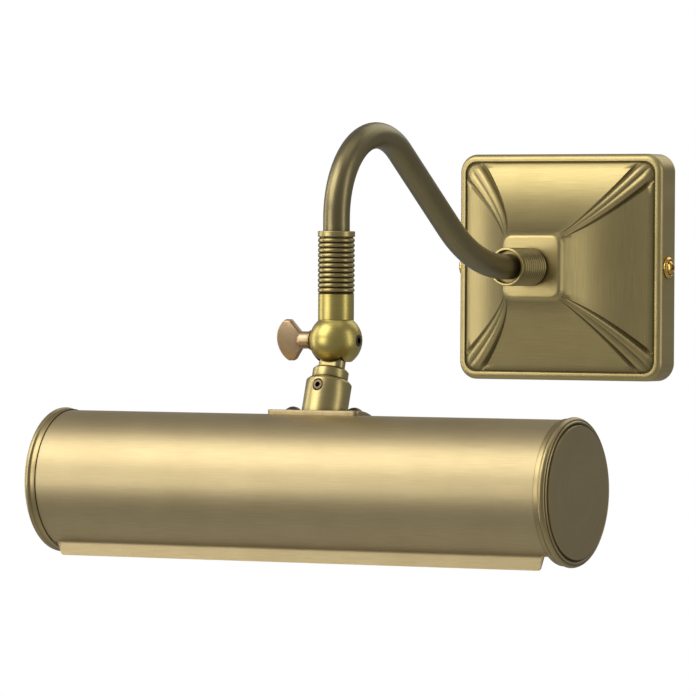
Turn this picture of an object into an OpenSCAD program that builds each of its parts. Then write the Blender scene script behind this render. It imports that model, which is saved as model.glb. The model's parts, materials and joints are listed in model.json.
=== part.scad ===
// Picture light: a wall plate, a swan-neck arm, a clamped ball knuckle and a tubular shade.
// The wall is the plane y = 0, the arm lies in the plane x = 0 and reaches along -Y, +Z is up.

/* [Shade] */
// Length over the two end caps
shade_len = 255; // [200:1:340]
// Outer radius of the rolled sheet
shade_r = 30.5; // [27:0.1:38]
// Thickness of the rolled sheet
shade_t = 0.8; // [0.6:0.1:1.2]
// Angle of the light slot round the shade axis
slot_angle = 104; // [80:1:120]
// Angle of the slot's front edge, in front of the point opposite the stem
slot_front = 12; // [5:0.5:25]
// Height of the turned-out lip on each slot edge
lip_h = 6.2; // [3:0.1:8]
// Angle of the lip from the radial line, towards the slot
lip_turn = 30; // [0:1:50]
// Bare sheet between each end cap and the lip
lip_inset = 2.2; // [1:0.1:10]
// Slant of each lip end
lip_slant = 2.1; // [0:0.1:5]

/* [End caps] */
// Width of the cap's skirt along the shade
cap_skirt = 6.4; // [4:0.1:12]
// Sheet thickness of the cap
cap_t = 1.1; // [0.8:0.1:1.5]
// Width of the beaded rim round the cap's raised face
cap_rim = 3.4; // [3:0.1:6]
// Height of the cap's raised face above the groove in the rim
cap_face_h = 0.9; // [0.5:0.1:1.5]

/* [Saddle and stem] */
// Distance from the tilt axis to the shade axis
stem_len = 65.3; // [58:0.1:85]
// Lean of the stem from the vertical in the stored pose
stem_lean = 17.6; // [0:0.1:20]
// Length of the saddle along the shade
saddle_len = 44.5; // [42:0.5:70]
// Angle that the saddle wraps round the shade
saddle_wrap = 41.5; // [30:0.5:60]
// Thickness of the saddle
saddle_t = 2; // [1:0.1:3]
// Distance from the stem to each saddle screw
saddle_screw_x = 15; // [14.5:0.5:18]
// Outer diameter of the stem socket
socket_d = 19.8; // [18:0.1:22]
// Diameter of the shoulder above the socket
shoulder_d = 15.6; // [14:0.1:17]
// Length of the shoulder
shoulder_h = 4.8; // [3:0.1:8]
// Distance from the tilt axis to the shoulder's top
shoulder_z = 13; // [12.8:0.1:15]
// Diameter of the tenon that turns in the socket
tenon_d = 12; // [10:0.1:13]

/* [Knuckle] */
// Diameter of the ball
ball_d = 23; // [22:0.1:26]
// Distance from the ball's centre to its flat underside
ball_flat = 9.3; // [8.8:0.1:9.8]
// Diameter of the barrel above the ball
barrel_d = 15.5; // [14:0.1:17]
// Length of the barrel, down to the ball
barrel_h = 11.2; // [8:0.1:16]
// Distance from the barrel's end to the tilt axis
barrel_to_axis = 8.8; // [8:0.1:9.5]
// Width of the tongue along the tilt axis
tongue_w = 12.2; // [10:0.1:12.6]
// Thickness of the tongue across the tilt axis
tongue_t = 6.6; // [6:0.1:7]
// Radius of the tongue's round eye
eye_r = 7; // [5.5:0.1:7.2]
// Tilt towards the front from the stored pose
tilt_front = 4; // [2:1:4]
// Tilt towards the wall from the stored pose
tilt_back = 62; // [20:1:62]
// Diameter of the clamp screw's shank
clamp_d = 4; // [3:0.1:4.5]
// Diameter of the locking grub screw
lock_d = 5; // [4.8:0.1:6]

/* [Wing screw] */
// Height of the wing
wing_h = 18; // [14:0.1:24]
// Reach of the wing's outer edge from the tilt axis
wing_reach = 28.5; // [27:0.1:32]
// Radius of the wing's outer edge
wing_r = 11; // [10:0.1:16]
// Thickness of the wing
wing_t = 3; // [2:0.1:4]
// Width of the wing's cut-off top and bottom
wing_tip = 3; // [2:0.1:5]
// Lean of the wing from the vertical
wing_lean = 14; // [-45:1:45]
// Diameter of the wing screw's hub
hub_d = 7.5; // [6:0.1:9]
// Diameter of the clamp washer
washer_d = 8.8; // [8:0.1:11]
// Thickness of the clamp washer
washer_t = 1; // [0.6:0.1:1.6]

/* [Arm] */
// Distance from the wall to the tilt axis
reach = 229.4; // [200:0.1:300]
// Height of the arm's crest above the wall plate's centre
crest_z = 57.2; // [50:0.1:80]
// Slope of the arm's straight rise
rise_angle = 35; // [30:1:45]
// Centreline radius of the bend over the top
bend_r = 36.5; // [30:0.5:40]
// Centreline radius of the gentle bend at the wall, shortened where the arm is too short for it
knee_r = 95; // [40:1:100]
// Outer diameter of the tube
tube_d = 11.6; // [10:0.1:12.4]
// Wall of the tube
tube_t = 1; // [0.8:0.1:1.2]
// Depth of the tilt axis below the wall plate's centre
axis_drop = 32.2; // [28:0.1:45]
// Diameter of the ribbed sleeve at the arm's end
sleeve_d = 16; // [15.5:0.1:18]
// Length of the ribbed sleeve at the arm's end
sleeve_h = 27.2; // [20:0.1:35]
// Depth of the tube in the sleeve
tube_seat = 14; // [10:0.1:15]

/* [Wall collar] */
// Diameter of the ribbed collar on the wall plate
collar_d = 17.6; // [17:0.1:20]
// Length of the ribbed collar
collar_h = 25; // [22:0.1:35]
// Depth of the collar's open mouth
mouth_depth = 3; // [1:0.1:4]
// Wall of the collar's open mouth
mouth_wall = 1.3; // [1:0.1:1.6]
// Pitch of the ribs on both sleeves
rib_pitch = 2.15; // [1.8:0.05:3]
// Depth of the grooves between the ribs
rib_depth = 0.7; // [0.3:0.1:0.9]

/* [Wall plate] */
// Side of the square plate
plate_w = 105; // [95:0.5:130]
// Depth of the plate's straight side
plate_side = 14.3; // [14:0.1:20]
// Distance from the wall to the boss face
plate_boss_y = 43.5; // [36:0.1:60]
// Thickness of the pressed sheet
plate_t = 1.2; // [1:0.1:1.6]
// Corner radius of the plate
plate_corner = 8.5; // [6:0.1:12]
// Radius of the plate's front edge
plate_edge = 2.6; // [2:0.1:4]
// Width of the flat rim round the relief
rim_w = 3.6; // [3.4:0.1:6]
// Side of the boss in the middle
boss_w = 30.8; // [28:0.1:36]
// Height of the boss's rounded edge
boss_edge = 2.2; // [1.5:0.1:3]

/* [Wall bracket] */
// Thickness of the bracket strip
bracket_t = 1.5; // [1.2:0.1:2.5]
// Height of the bracket strip
bracket_h = 46; // [44:1:60]
// Distance between the two wall slots
wall_pitch = 60; // [56:0.5:66]
// Width of each wall slot
wall_slot_w = 4.8; // [4:0.1:6]
// Overall length of each wall slot
wall_slot_len = 16; // [10:1:18]
// Diameter of the supply cable's way through the grommet
cable_way_d = 8; // [6:0.1:9]
// Diameter of the plate screws
plate_screw_d = 4; // [3:0.1:5]
// Distance from the wall to the plate screws
plate_screw_y = 7; // [6.8:0.1:8]

/* [Lamps] */
// Distance between the two lamp carrier tabs
carrier_span = 210; // [190:1:212]
// Thickness of the lamp carrier
carrier_t = 1.5; // [1:0.1:2]
// Height of the lamps above the shade axis, towards the stem
lamp_z = 4; // [0:0.5:6]
// Diameter of the glass tubes
lamp_d = 25; // [20:0.5:28]
// Length of each lamp over its cap
lamp_len = 85; // [70:1:86]
// Diameter of the lampholders
holder_d = 27; // [24:0.5:30]
// Length of the lampholders
holder_h = 30; // [28:1:34]

/* [Hidden] */
$fn = 64;

seat_gap = 0.05;       // radial gap of a piece fixed in its seat, and of a running fit
body_gap = 0.3;        // gap between faces of bodies that move past each other
washer_gap = 0.15;     // gap under the clamp washer and at the clamp screw's tip
cut = 1;               // overshoot of every cutting tool
big = 60;

// Bought-in threaded pieces
nipple_d = 10;
nipple_bore = 7;
nut_af = 14;
nut_h = 3;
screw_d = 3.5;
small_nut_af = 6;
small_nut_h = 2.4;

brass = [0.66, 0.57, 0.36];
gold = [0.86, 0.66, 0.28];
steel = [0.7, 0.7, 0.7];
bronze = [0.22, 0.16, 0.1];
plastic = [0.92, 0.91, 0.88];
glass = [0.95, 0.94, 0.88];

// Shade, measured from the shade axis
shade_in = shade_r - shade_t;
saddle_r = shade_r + saddle_t;
cap_in = shade_r + seat_gap;
cap_r = cap_in + cap_t;
sheet_len = shade_len - 2 * (cap_t + cap_face_h);
lip_len = shade_len - 2 * (cap_skirt + lip_inset);
slot_back = slot_angle - slot_front;
carrier_in = shade_in - carrier_t;
nipple_top = saddle_r + 4.5;
tenon_end = nipple_top + 1;
socket_top = stem_len - shoulder_z - shoulder_h - body_gap;
grub_z = (socket_top + tenon_end) / 2;
grub_d = 4.6;
small_nut_z = carrier_in - small_nut_h - 0.2;
shade_nut_z = sqrt(pow(carrier_in, 2) - pow(nut_af / sqrt(3), 2)) - nut_h;

// Lamps, measured from the middle of the shade
tab_x = carrier_span / 2;
tab_w = 18;
tab_low = 8;
carrier_wrap = 44;
holder_back = tab_x - carrier_t;
holder_mouth = holder_back - holder_h;
lamp_cap_d = 13.5;
lamp_cap_h = 22;
glass_t = 0.8;
glass_len = lamp_len - lamp_cap_h;
wire_r = 1.2;
wire_z = lamp_z + holder_d / 2 + wire_r + 0.6;
wire_bend = shade_nut_z - 1 - body_gap - wire_z;
entry_x = holder_mouth + 18;
entry_len = 8;

// Knuckle
knuckle_z = -axis_drop;
ball_r = ball_d / 2;
barrel_low = knuckle_z + barrel_to_axis;
barrel_top = barrel_low + barrel_h;
sleeve_top = barrel_top + sleeve_h;
spigot_h = sleeve_h - tube_seat - 1;
eye_cavity = eye_r + 0.5;
tongue_x = (tongue_w - tongue_t) / 2;
tilt_range = tilt_front + tilt_back;
stub_reach = 3.15;
wire_way = 2.3;
clamp_bore = clamp_d / 2 + seat_gap;
hub_x = ball_r - 0.5 + washer_gap + washer_t;
wing_centre = wing_reach - wing_r;
wing_flat = wing_centre + sqrt(pow(wing_r, 2) - pow(wing_h / 2, 2));

// Arm, as depth from the wall and height in the plane of the arm
top_u = reach - bend_r;
top_v = crest_z - bend_r;
knee_u = top_u - bend_r * sin(rise_angle) - (top_v + bend_r * cos(rise_angle)) / tan(rise_angle);
knee_bend = min(knee_r, (knee_u - plate_boss_y - collar_h) / tan(rise_angle / 2));
first_u = knee_u - knee_bend * tan(rise_angle / 2);
rise_steps = 7;
drop_steps = 16;
tube_sides = 28;
cable_r = 2.5;
cable_sides = 10;

// Wall plate, as half widths and depths from the wall
half = plate_w / 2;
relief_half = half - rim_w;
relief_y = plate_side - 0.5;
boss_half = boss_w / 2;
boss_foot = plate_boss_y - boss_edge;
boss_in = plate_boss_y - plate_t;
flank_start = [relief_half - 0.3, relief_y];
flank_end = [boss_half + 0.4, boss_foot];
flank_sag = 0.09;
flank_steps = 7;
boss_corner = 5;
corner_steps = 5;
mouth_y = plate_boss_y + collar_h;
tube_start = plate_boss_y + collar_h / 2;
bracket_half = half - plate_t - 0.2;
tab_depth = plate_side - plate_t - plate_edge - 0.2;
tab_h = 16;
cup_r = 5;
cup_h = 1.5;
head_r = 3.1;
head_h = 1.3;
grommet_r = 6.5;
block_z = -15.5;
block_w = 27;
block_h = 11;
block_y = 13;
pole_pitch = 9;
earth_z = 16;

// Places the children's origin on the tilt axis, with -Z along the stem
module at_knuckle() {
    translate([0, -reach, knuckle_z]) rotate([-stem_lean, 0, 0]) children();
}

// Places the children's origin on the shade axis, with +Z towards the stem
module at_shade() {
    at_knuckle() translate([0, 0, -stem_len]) children();
}

// A cylinder along X from x0 to x1
module rod_x(x0, x1, r) {
    translate([x0, 0, 0]) rotate([0, 90, 0]) cylinder(h = x1 - x0, r = r);
}

// A cylinder away from the wall, from depth y0 to depth y1
module rod_y(y0, y1, r) {
    translate([0, -y0, 0]) rotate([90, 0, 0]) cylinder(h = y1 - y0, r = r);
}

// A cylinder along Z from z0 to z1
module rod_z(z0, z1, r) {
    translate([0, 0, z0]) cylinder(h = z1 - z0, r = r);
}

// A hexagonal nut along Z, standing on z = 0
module hex_nut(af, h, bore_r) {
    difference() {
        cylinder(h = h, r = af / sqrt(3), $fn = 6);
        rod_z(-cut, h + cut, bore_r);
    }
}

// A shallow dome on z = 0 with the given rim radius and height
module dome(r, h) {
    sphere_r = (r * r + h * h) / (2 * h);
    intersection() {
        cylinder(h = h, r = r);
        translate([0, 0, h - sphere_r]) sphere(r = sphere_r);
    }
}

// A turned sleeve standing on z = 0, with ribs below a plain top ring
module ribbed_sleeve(d, h, plain) {
    ribs = floor((h - plain - 0.6) / rib_pitch);
    rotate_extrude() difference() {
        square([d / 2, h]);
        for (i = [0 : ribs - 1])
            translate([d / 2 - rib_depth, 0.6 + i * rib_pitch]) square([rib_depth + cut, rib_pitch * 0.42]);
    }
}

// A skin through rings of equally many points, closed round on itself or capped at both ends
module skin(rings, loop = false) {
    n = len(rings[0]);
    m = len(rings);
    sides = [for (k = [0 : loop ? m - 1 : m - 2]) for (i = [0 : n - 1])
        let (a = k * n + i, b = k * n + (i + 1) % n, c = ((k + 1) % m) * n + i, d = ((k + 1) % m) * n + (i + 1) % n)
            each [[a, d, b], [a, c, d]]];
    caps = loop ? [] : [[for (i = [0 : n - 1]) i], [for (i = [n - 1 : -1 : 0]) (m - 1) * n + i]];
    polyhedron([for (r = rings) each r], concat(sides, caps));
}

// Depth, height and heading of each ring of the arm, from depth u0 out to the knuckle at height v1
function arm_path(u0, v1) = concat(
    [[u0, 0, 0], [first_u, 0, 0]],
    [for (i = [1 : rise_steps]) let (a = rise_angle * i / rise_steps)
        [first_u + knee_bend * sin(a), knee_bend * (1 - cos(a)), a]],
    [for (i = [0 : drop_steps]) let (a = rise_angle - (90 + rise_angle) * i / drop_steps)
        [top_u - bend_r * sin(a), top_v + bend_r * cos(a), a]],
    [[reach, v1, -90]]
);

// The rings of radius r along an arm path
function arm_rings(path, r, sides) = [
    for (p = path) [for (i = [0 : sides - 1]) let (t = -360 * i / sides, q = r * cos(t))
        [r * sin(t), -(p[0] - q * sin(p[2])), p[1] + q * cos(p[2])]]
];

function reversed(list) = [for (i = [len(list) - 1 : -1 : 0]) list[i]];

// ---- wall plate ----

// Corner points of a rounded square of half width h and corner radius c at depth y
function ring(h, c, y) = [
    for (q = [0 : 3]) for (i = [0 : corner_steps])
        let (a = 90 * (q + i / corner_steps), sx = (q == 0 || q == 3) ? 1 : -1, sz = q < 2 ? 1 : -1)
            [sx * (h - c) + c * cos(a), -y, sz * (h - c) + c * sin(a)]
];

// Half width, corner radius and depth of each ring of the plate, from the wall to the boss face
function plate_rings() = concat(
    [[half, plate_corner, 0], [half, plate_corner, plate_side - plate_edge]],
    [for (a = [22.5 : 22.5 : 90])
        [half - plate_edge * (1 - cos(a)), plate_corner - plate_edge * (1 - cos(a)),
         plate_side - plate_edge * (1 - sin(a))]],
    [[relief_half, plate_corner - rim_w, plate_side]],
    [for (i = [0 : flank_steps])
        let (t = i / flank_steps, d = flank_end - flank_start, s = 4 * flank_sag * t * (1 - t),
             p = flank_start + d * t + s * [-d[1], d[0]])
            [p[0], plate_corner - rim_w, p[1]]],
    [for (a = [0 : 30 : 90])
        [boss_half - boss_edge * (1 - cos(a)), boss_corner - boss_edge * (1 - cos(a)) / 2,
         boss_foot + boss_edge * sin(a)]]
);

// The pressed sheet: one closed skin from inside the boss back to the wall and out to the boss face
module plate_sheet() {
    rings = plate_rings();
    last = len(rings) - 1;
    inside = [for (k = [last : -1 : 0]) let (r = rings[k])
        ring(r[0] - plate_t, r[1] - plate_t, k == 0 ? 0 : r[2] - plate_t)];
    skin(concat(inside, [for (r = rings) ring(r[0], r[1], r[2])]));
}

module back_plate() {
    color(brass) difference() {
        plate_sheet();
        rod_y(boss_in - cut, plate_boss_y + cut, nipple_d / 2 + seat_gap);
        translate([0, -plate_screw_y, 0]) rod_x(-half - cut, half + cut, plate_screw_d / 2 + 0.2);
    }
}

module plate_screw_cups() {
    color(gold) for (side = [0, 1]) mirror([side, 0, 0])
        translate([half, -plate_screw_y, 0]) rotate([0, 90, 0]) rotate_extrude()
            polygon([[plate_screw_d / 2 + 0.2, 0], [cup_r, 0], [cup_r, 0.5], [cup_r - 0.8, cup_h],
                     [cup_r - 1.4, cup_h], [head_r + 0.1, 0.5], [plate_screw_d / 2 + 0.2, 0.5]]);
}

module plate_screws() {
    color(gold) for (side = [0, 1]) mirror([side, 0, 0])
        translate([half + 0.5, -plate_screw_y, 0]) rotate([0, 90, 0]) {
            difference() {
                union() {
                    cylinder(h = 0.9, r = head_r);
                    translate([0, 0, 0.9]) dome(head_r, head_h);
                }
                translate([-0.4, -big / 2, 1.3]) cube([0.8, big, big]);
                translate([-big / 2, -0.4, 1.3]) cube([big, 0.8, big]);
            }
            rod_z(-8, 0, plate_screw_d / 2);
        }
}

module wall_bracket() {
    color(steel) difference() {
        union() {
            translate([-bracket_half, -bracket_t, -bracket_h / 2]) cube([2 * bracket_half, bracket_t, bracket_h]);
            for (side = [0, 1]) mirror([side, 0, 0])
                translate([bracket_half - bracket_t, -tab_depth, -tab_h / 2]) cube([bracket_t, tab_depth, tab_h]);
        }
        for (side = [-1, 1]) translate([side * wall_pitch / 2, 0, 0]) {
            for (end = [-1, 1]) translate([end * (wall_slot_len - wall_slot_w) / 2, 0, 0])
                rod_y(-cut, bracket_t + cut, wall_slot_w / 2);
            translate([-(wall_slot_len - wall_slot_w) / 2, -bracket_t - cut, -wall_slot_w / 2])
                cube([wall_slot_len - wall_slot_w, bracket_t + 2 * cut, wall_slot_w]);
        }
        rod_y(-cut, bracket_t + cut, grommet_r);
        translate([0, 0, earth_z]) rod_y(-cut, bracket_t + cut, plate_screw_d / 2 + seat_gap);
        translate([0, -plate_screw_y, 0]) rod_x(-big, big, plate_screw_d / 2 + seat_gap);
    }
}

module cable_grommet() {
    color([0.1, 0.1, 0.1]) difference() {
        union() {
            rod_y(0, bracket_t, grommet_r);
            rod_y(bracket_t, bracket_t + 1.5, grommet_r + 1.5);
        }
        rod_y(-cut, bracket_t + 1.5 + cut, cable_way_d / 2);
    }
}

module terminal_block() {
    color(plastic) translate([0, -bracket_t, block_z]) difference() {
        union() {
            translate([-block_w / 2, -block_y / 2, -block_h / 2]) cube([block_w, block_y / 2, block_h]);
            for (i = [-1 : 1]) translate([i * pole_pitch, 0, 0])
                translate([-3.5, -block_y, -block_h / 2]) cube([7, block_y, block_h]);
        }
        for (i = [-1 : 1]) translate([i * pole_pitch, -block_y * 0.4, 0]) rod_z(-block_h, block_h, 1.6);
        for (i = [-1 : 1]) for (side = [-1, 1]) translate([i * pole_pitch, 0, side * 2.8])
            rod_y(block_y * 0.6, block_y + cut, 1.6);
    }
}

module terminal_screws() {
    color(steel) translate([0, -bracket_t, block_z])
        for (i = [-1 : 1]) for (side = [-1, 1]) translate([i * pole_pitch, 0, side * 2.8]) difference() {
            rod_y(block_y * 0.6, block_y - 1.5, 1.5);
            translate([-0.3, -block_y, -3]) cube([0.6, 2.2, 6]);
        }
}

module earth_screw() {
    color([0.45, 0.62, 0.35]) translate([0, -bracket_t, earth_z]) rotate([90, 0, 0]) {
        translate([0, 0, -bracket_t]) cylinder(h = bracket_t, r = plate_screw_d / 2);
        cylinder(h = 0.8, r = 4.5);
        translate([0, 0, 0.8]) cylinder(h = 2.6, r = 4, $fn = 6);
    }
}

// ---- wall collar and arm ----

module wall_collar() {
    color(brass) difference() {
        translate([0, -plate_boss_y, 0]) rotate([90, 0, 0]) ribbed_sleeve(collar_d, collar_h, 2.4);
        rod_y(plate_boss_y - cut, tube_start + cut, nipple_d / 2);
        rod_y(tube_start, mouth_y + cut, tube_d / 2 + seat_gap);
        rod_y(mouth_y - mouth_depth, mouth_y + cut, collar_d / 2 - mouth_wall);
    }
}

module collar_nipple() {
    color(steel) difference() {
        rod_y(boss_in - nut_h - 3, tube_start - 0.5, nipple_d / 2);
        rod_y(0, tube_start + cut, nipple_bore / 2);
    }
}

module collar_washer() {
    color(steel) difference() {
        rod_y(boss_in - 1, boss_in, nut_af / 2 + 1);
        rod_y(0, plate_boss_y, nipple_d / 2 + seat_gap);
    }
}

module collar_nut() {
    color(steel) translate([0, -(boss_in - 1 - nut_h), 0]) rotate([90, 0, 0])
        hex_nut(nut_af, nut_h, nipple_d / 2 + seat_gap);
}

module arm_tube() {
    path = arm_path(tube_start, sleeve_top - tube_seat);
    color(brass) skin(concat(arm_rings(path, tube_d / 2, tube_sides),
                             reversed(arm_rings(path, tube_d / 2 - tube_t, tube_sides))), true);
}

module arm_cable() {
    color([0.12, 0.12, 0.12])
        skin(arm_rings(arm_path(bracket_t + block_y + 3, barrel_low + 1), cable_r, cable_sides));
}

module arm_end_sleeve() {
    color(brass) difference() {
        translate([0, -reach, barrel_top]) ribbed_sleeve(sleeve_d, sleeve_h, 2.2);
        translate([0, -reach, 0]) {
            rod_z(sleeve_top - tube_seat, sleeve_top + cut, tube_d / 2 + seat_gap);
            rod_z(barrel_top - cut, sleeve_top, nipple_d / 2);
        }
    }
}

// ---- knuckle ----

// The tongue's section, an oval of two round ends
module tongue_bar(z0, z1, gap) {
    for (side = [-1, 1]) translate([side * tongue_x, 0, 0]) rod_z(z0, z1, tongue_t / 2 + gap);
    translate([-tongue_x, -tongue_t / 2 - gap, z0]) cube([2 * tongue_x, tongue_t + 2 * gap, z1 - z0]);
}

// The room that the tongue sweeps in the ball
module tongue_sweep() {
    for (a = [-tilt_front, tilt_back]) rotate([a, 0, 0]) tongue_bar(-2 * ball_r, 0, body_gap);
    rotate([-tilt_front, 0, 0]) rotate([0, 90, 0]) rotate_extrude(angle = tilt_range)
        translate([0, -tongue_w / 2 - body_gap]) square([2 * ball_r, tongue_w + 2 * body_gap]);
    rod_x(-tongue_w / 2 - body_gap, tongue_w / 2 + body_gap, eye_cavity);
}

module knuckle_housing() {
    color(brass) difference() {
        translate([0, -reach, 0]) difference() {
            union() {
                rod_z(barrel_top, barrel_top + spigot_h, nipple_d / 2 - seat_gap);
                rod_z(barrel_low - 2, barrel_top, barrel_d / 2);
                translate([0, 0, knuckle_z]) sphere(r = ball_r);
            }
            rod_z(knuckle_z - big, knuckle_z - ball_flat, big);
            rod_z(knuckle_z, barrel_top + big, cable_r + 0.7);
            translate([0, 0, knuckle_z]) {
                rod_x(-big, 0, clamp_bore);
                rod_x(-big, -ball_r + 0.5, ball_r / 2);
                rod_x(0, big, lock_d / 2 + seat_gap);
            }
        }
        at_knuckle() tongue_sweep();
    }
}

module knuckle_lock_screw() {
    color(bronze) translate([0, -reach, knuckle_z]) difference() {
        union() {
            rod_x(stub_reach, tongue_w / 2 + body_gap, clamp_d / 2);
            rod_x(tongue_w / 2 + body_gap, ball_r - 0.2, lock_d / 2);
        }
        translate([ball_r - 2.2, 0, 0]) rotate([0, 90, 0]) cylinder(h = big, r = 1.45, $fn = 6);
    }
}

module clamp_washer() {
    color(gold) translate([0, -reach, knuckle_z]) difference() {
        rod_x(-hub_x, washer_t - hub_x, washer_d / 2);
        rod_x(-big, 0, clamp_bore);
    }
}

module wing_screw() {
    color([0.72, 0.58, 0.42]) translate([0, -reach, knuckle_z]) rotate([wing_lean, 0, 0]) {
        rod_x(-hub_x, -stub_reach, clamp_d / 2);
        rod_x(-wing_centre, -hub_x, hub_d / 2);
        translate([0, wing_t / 2, 0]) rotate([90, 0, 0]) linear_extrude(wing_t) intersection() {
            translate([-wing_centre, 0]) circle(r = wing_r);
            polygon([[-big, -wing_h / 2], [wing_tip - wing_flat, -wing_h / 2],
                     [-wing_centre + 1, -hub_d / 2 + 0.4], [-wing_centre + 1, hub_d / 2 - 0.4],
                     [wing_tip - wing_flat, wing_h / 2], [-big, wing_h / 2]]);
        }
    }
}

module tilt_tongue() {
    color(brass) at_knuckle() difference() {
        union() {
            rod_x(-tongue_w / 2, tongue_w / 2, eye_r);
            tongue_bar(-shoulder_z, -2, 0);
            translate([0, 0, -shoulder_z - shoulder_h]) rotate_extrude()
                polygon([[0, 0], [shoulder_d / 2, 0], [shoulder_d / 2, shoulder_h - 1],
                         [shoulder_d / 2 - 1, shoulder_h], [0, shoulder_h]]);
            rod_z(tenon_end - stem_len, -shoulder_z - 1, tenon_d / 2 - seat_gap);
        }
        for (side = [0, 1]) mirror([side, 0, 0]) rod_x(stub_reach - washer_gap, big, clamp_bore);
        rod_z(-big, big, wire_way);
        translate([0, 0, grub_z - stem_len]) rotate_extrude()
            translate([tenon_d / 2 - 1.2, -grub_d / 2 + 0.3]) square([big, grub_d - 0.6]);
    }
}

module stem_wires() {
    color([0.5, 0.3, 0.15]) at_knuckle() for (side = [-1, 1]) translate([side * (wire_way - wire_r), 0, 0])
        rod_z(tenon_end - stem_len, eye_r - 1, wire_r - 0.15);
}

// ---- stem socket and saddle ----

module stem_socket() {
    color(brass) at_shade() difference() {
        translate([0, 0, shade_r]) rotate_extrude()
            polygon([[0, 0], [socket_d / 2, 0], [socket_d / 2, socket_top - shade_r - 1.2],
                     [socket_d / 2 - 1.2, socket_top - shade_r], [0, socket_top - shade_r]]);
        rod_x(-big, big, saddle_r);
        rod_z(nipple_top, socket_top + cut, tenon_d / 2);
        rod_z(0, socket_top, nipple_d / 2 + seat_gap);
        translate([0, 0, grub_z]) rod_y(0, big, grub_d / 2 + seat_gap);
    }
}

module socket_grub_screw() {
    color(bronze) at_shade() translate([0, 0, grub_z]) difference() {
        union() {
            rod_y(tenon_d / 2 + 0.3, socket_d / 2 - 0.2, grub_d / 2);
            rod_y(tenon_d / 2 - 0.9, tenon_d / 2 + 0.4, 1.2);
        }
        translate([0, -socket_d / 2 + 1.8, 0]) rotate([90, 0, 0]) cylinder(h = big, r = 1.3, $fn = 6);
    }
}

// A strip bent round the shade axis, between two radii, over an angle about the stem
module bent_strip(r0, r1, angle, length) {
    rotate([0, -90, 0]) rotate([0, 0, -angle / 2]) translate([0, 0, -length / 2])
        rotate_extrude(angle = angle) translate([r0, 0]) square([r1 - r0, length]);
}

// The holes through saddle, shade and carrier
module saddle_holes() {
    rod_z(0, big, nipple_d / 2 + seat_gap);
    for (side = [-1, 1]) translate([side * saddle_screw_x, 0, 0]) rod_z(0, big, screw_d / 2 + seat_gap);
}

module saddle_plate() {
    color(brass) at_shade() difference() {
        bent_strip(shade_r, saddle_r, saddle_wrap, saddle_len);
        saddle_holes();
    }
}

module saddle_screws() {
    color(bronze) at_shade() for (side = [-1, 1]) translate([side * saddle_screw_x, 0, 0]) {
        translate([0, 0, saddle_r]) dome(3.75, 2);
        rod_z(small_nut_z - 1, saddle_r, screw_d / 2);
    }
}

module saddle_nuts() {
    color(steel) at_shade() for (side = [-1, 1])
        translate([side * saddle_screw_x, 0, small_nut_z]) hex_nut(small_nut_af, small_nut_h, screw_d / 2 + seat_gap);
}

module shade_nipple() {
    color(steel) at_shade() difference() {
        rod_z(shade_nut_z - 1, nipple_top, nipple_d / 2);
        rod_z(0, big, nipple_bore / 2);
    }
}

module shade_nipple_nut() {
    color(steel) at_shade() translate([0, 0, shade_nut_z]) hex_nut(nut_af, nut_h, nipple_d / 2 + seat_gap);
}

// ---- shade ----

// One slot edge's lip; angle is measured from the point opposite the stem, positive to the wall
module lip(angle, turn) {
    rotate([angle, 0, 0]) translate([0, 0, -shade_r + shade_t / 2]) rotate([turn, 0, 0]) rotate([90, 0, 0])
        translate([0, 0, -shade_t / 2]) linear_extrude(shade_t)
            polygon([[-lip_len / 2, 0], [lip_len / 2, 0], [lip_len / 2 - lip_slant, -lip_h],
                     [lip_slant - lip_len / 2, -lip_h]]);
}

module shade_shell() {
    color(brass) at_shade() difference() {
        union() {
            rotate([slot_back, 0, 0]) rotate([0, 90, 0]) translate([0, 0, -sheet_len / 2])
                rotate_extrude(angle = 360 - slot_angle) translate([shade_in, 0]) square([shade_t, sheet_len]);
            lip(-slot_front, lip_turn);
            lip(slot_back, -lip_turn);
        }
        saddle_holes();
    }
}

// A spun cap pushed over the shade's end, drawn at the +X end
module end_cap() {
    face_r = cap_r - cap_rim;
    under = cap_t + cap_face_h;
    skirt_r = cap_in + 0.45;
    at_shade() translate([shade_len / 2, 0, 0]) rotate([0, -90, 0]) rotate_extrude()
        polygon([[0, 0], [face_r, 0], [face_r + 0.3, cap_face_h], [cap_r - 0.7, cap_face_h + 0.2],
                 [cap_r, cap_face_h + 1.1], [cap_r, cap_face_h + 2.3], [skirt_r, cap_face_h + 3.4],
                 [skirt_r, cap_skirt], [cap_in, cap_skirt], [cap_in, under], [face_r - 0.6, under],
                 [face_r - 1.4, cap_t], [0, cap_t]]);
}

module end_cap_right() {
    color(brass) end_cap();
}

module end_cap_left() {
    color(brass) mirror([1, 0, 0]) end_cap();
}

// ---- lamps ----

module lamp_carrier() {
    color(steel) at_shade() difference() {
        union() {
            bent_strip(carrier_in, shade_in, carrier_wrap, carrier_span + 2);
            for (side = [0, 1]) mirror([side, 0, 0]) intersection() {
                rod_x(tab_x - carrier_t, tab_x, carrier_in + carrier_t / 2);
                translate([tab_x - big, -tab_w / 2, lamp_z - tab_low]) cube([2 * big, tab_w, big]);
            }
        }
        saddle_holes();
        translate([0, 0, lamp_z]) rod_x(-tab_x - cut, tab_x + cut, nipple_d / 2 + seat_gap);
    }
}

// Draws a turned lamp piece about the lamp axis, its profile given as [radius, distance from the middle]
module lamp_turn(profile) {
    at_shade() translate([0, 0, lamp_z]) rotate([0, 90, 0]) rotate_extrude() polygon(profile);
}

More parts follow.
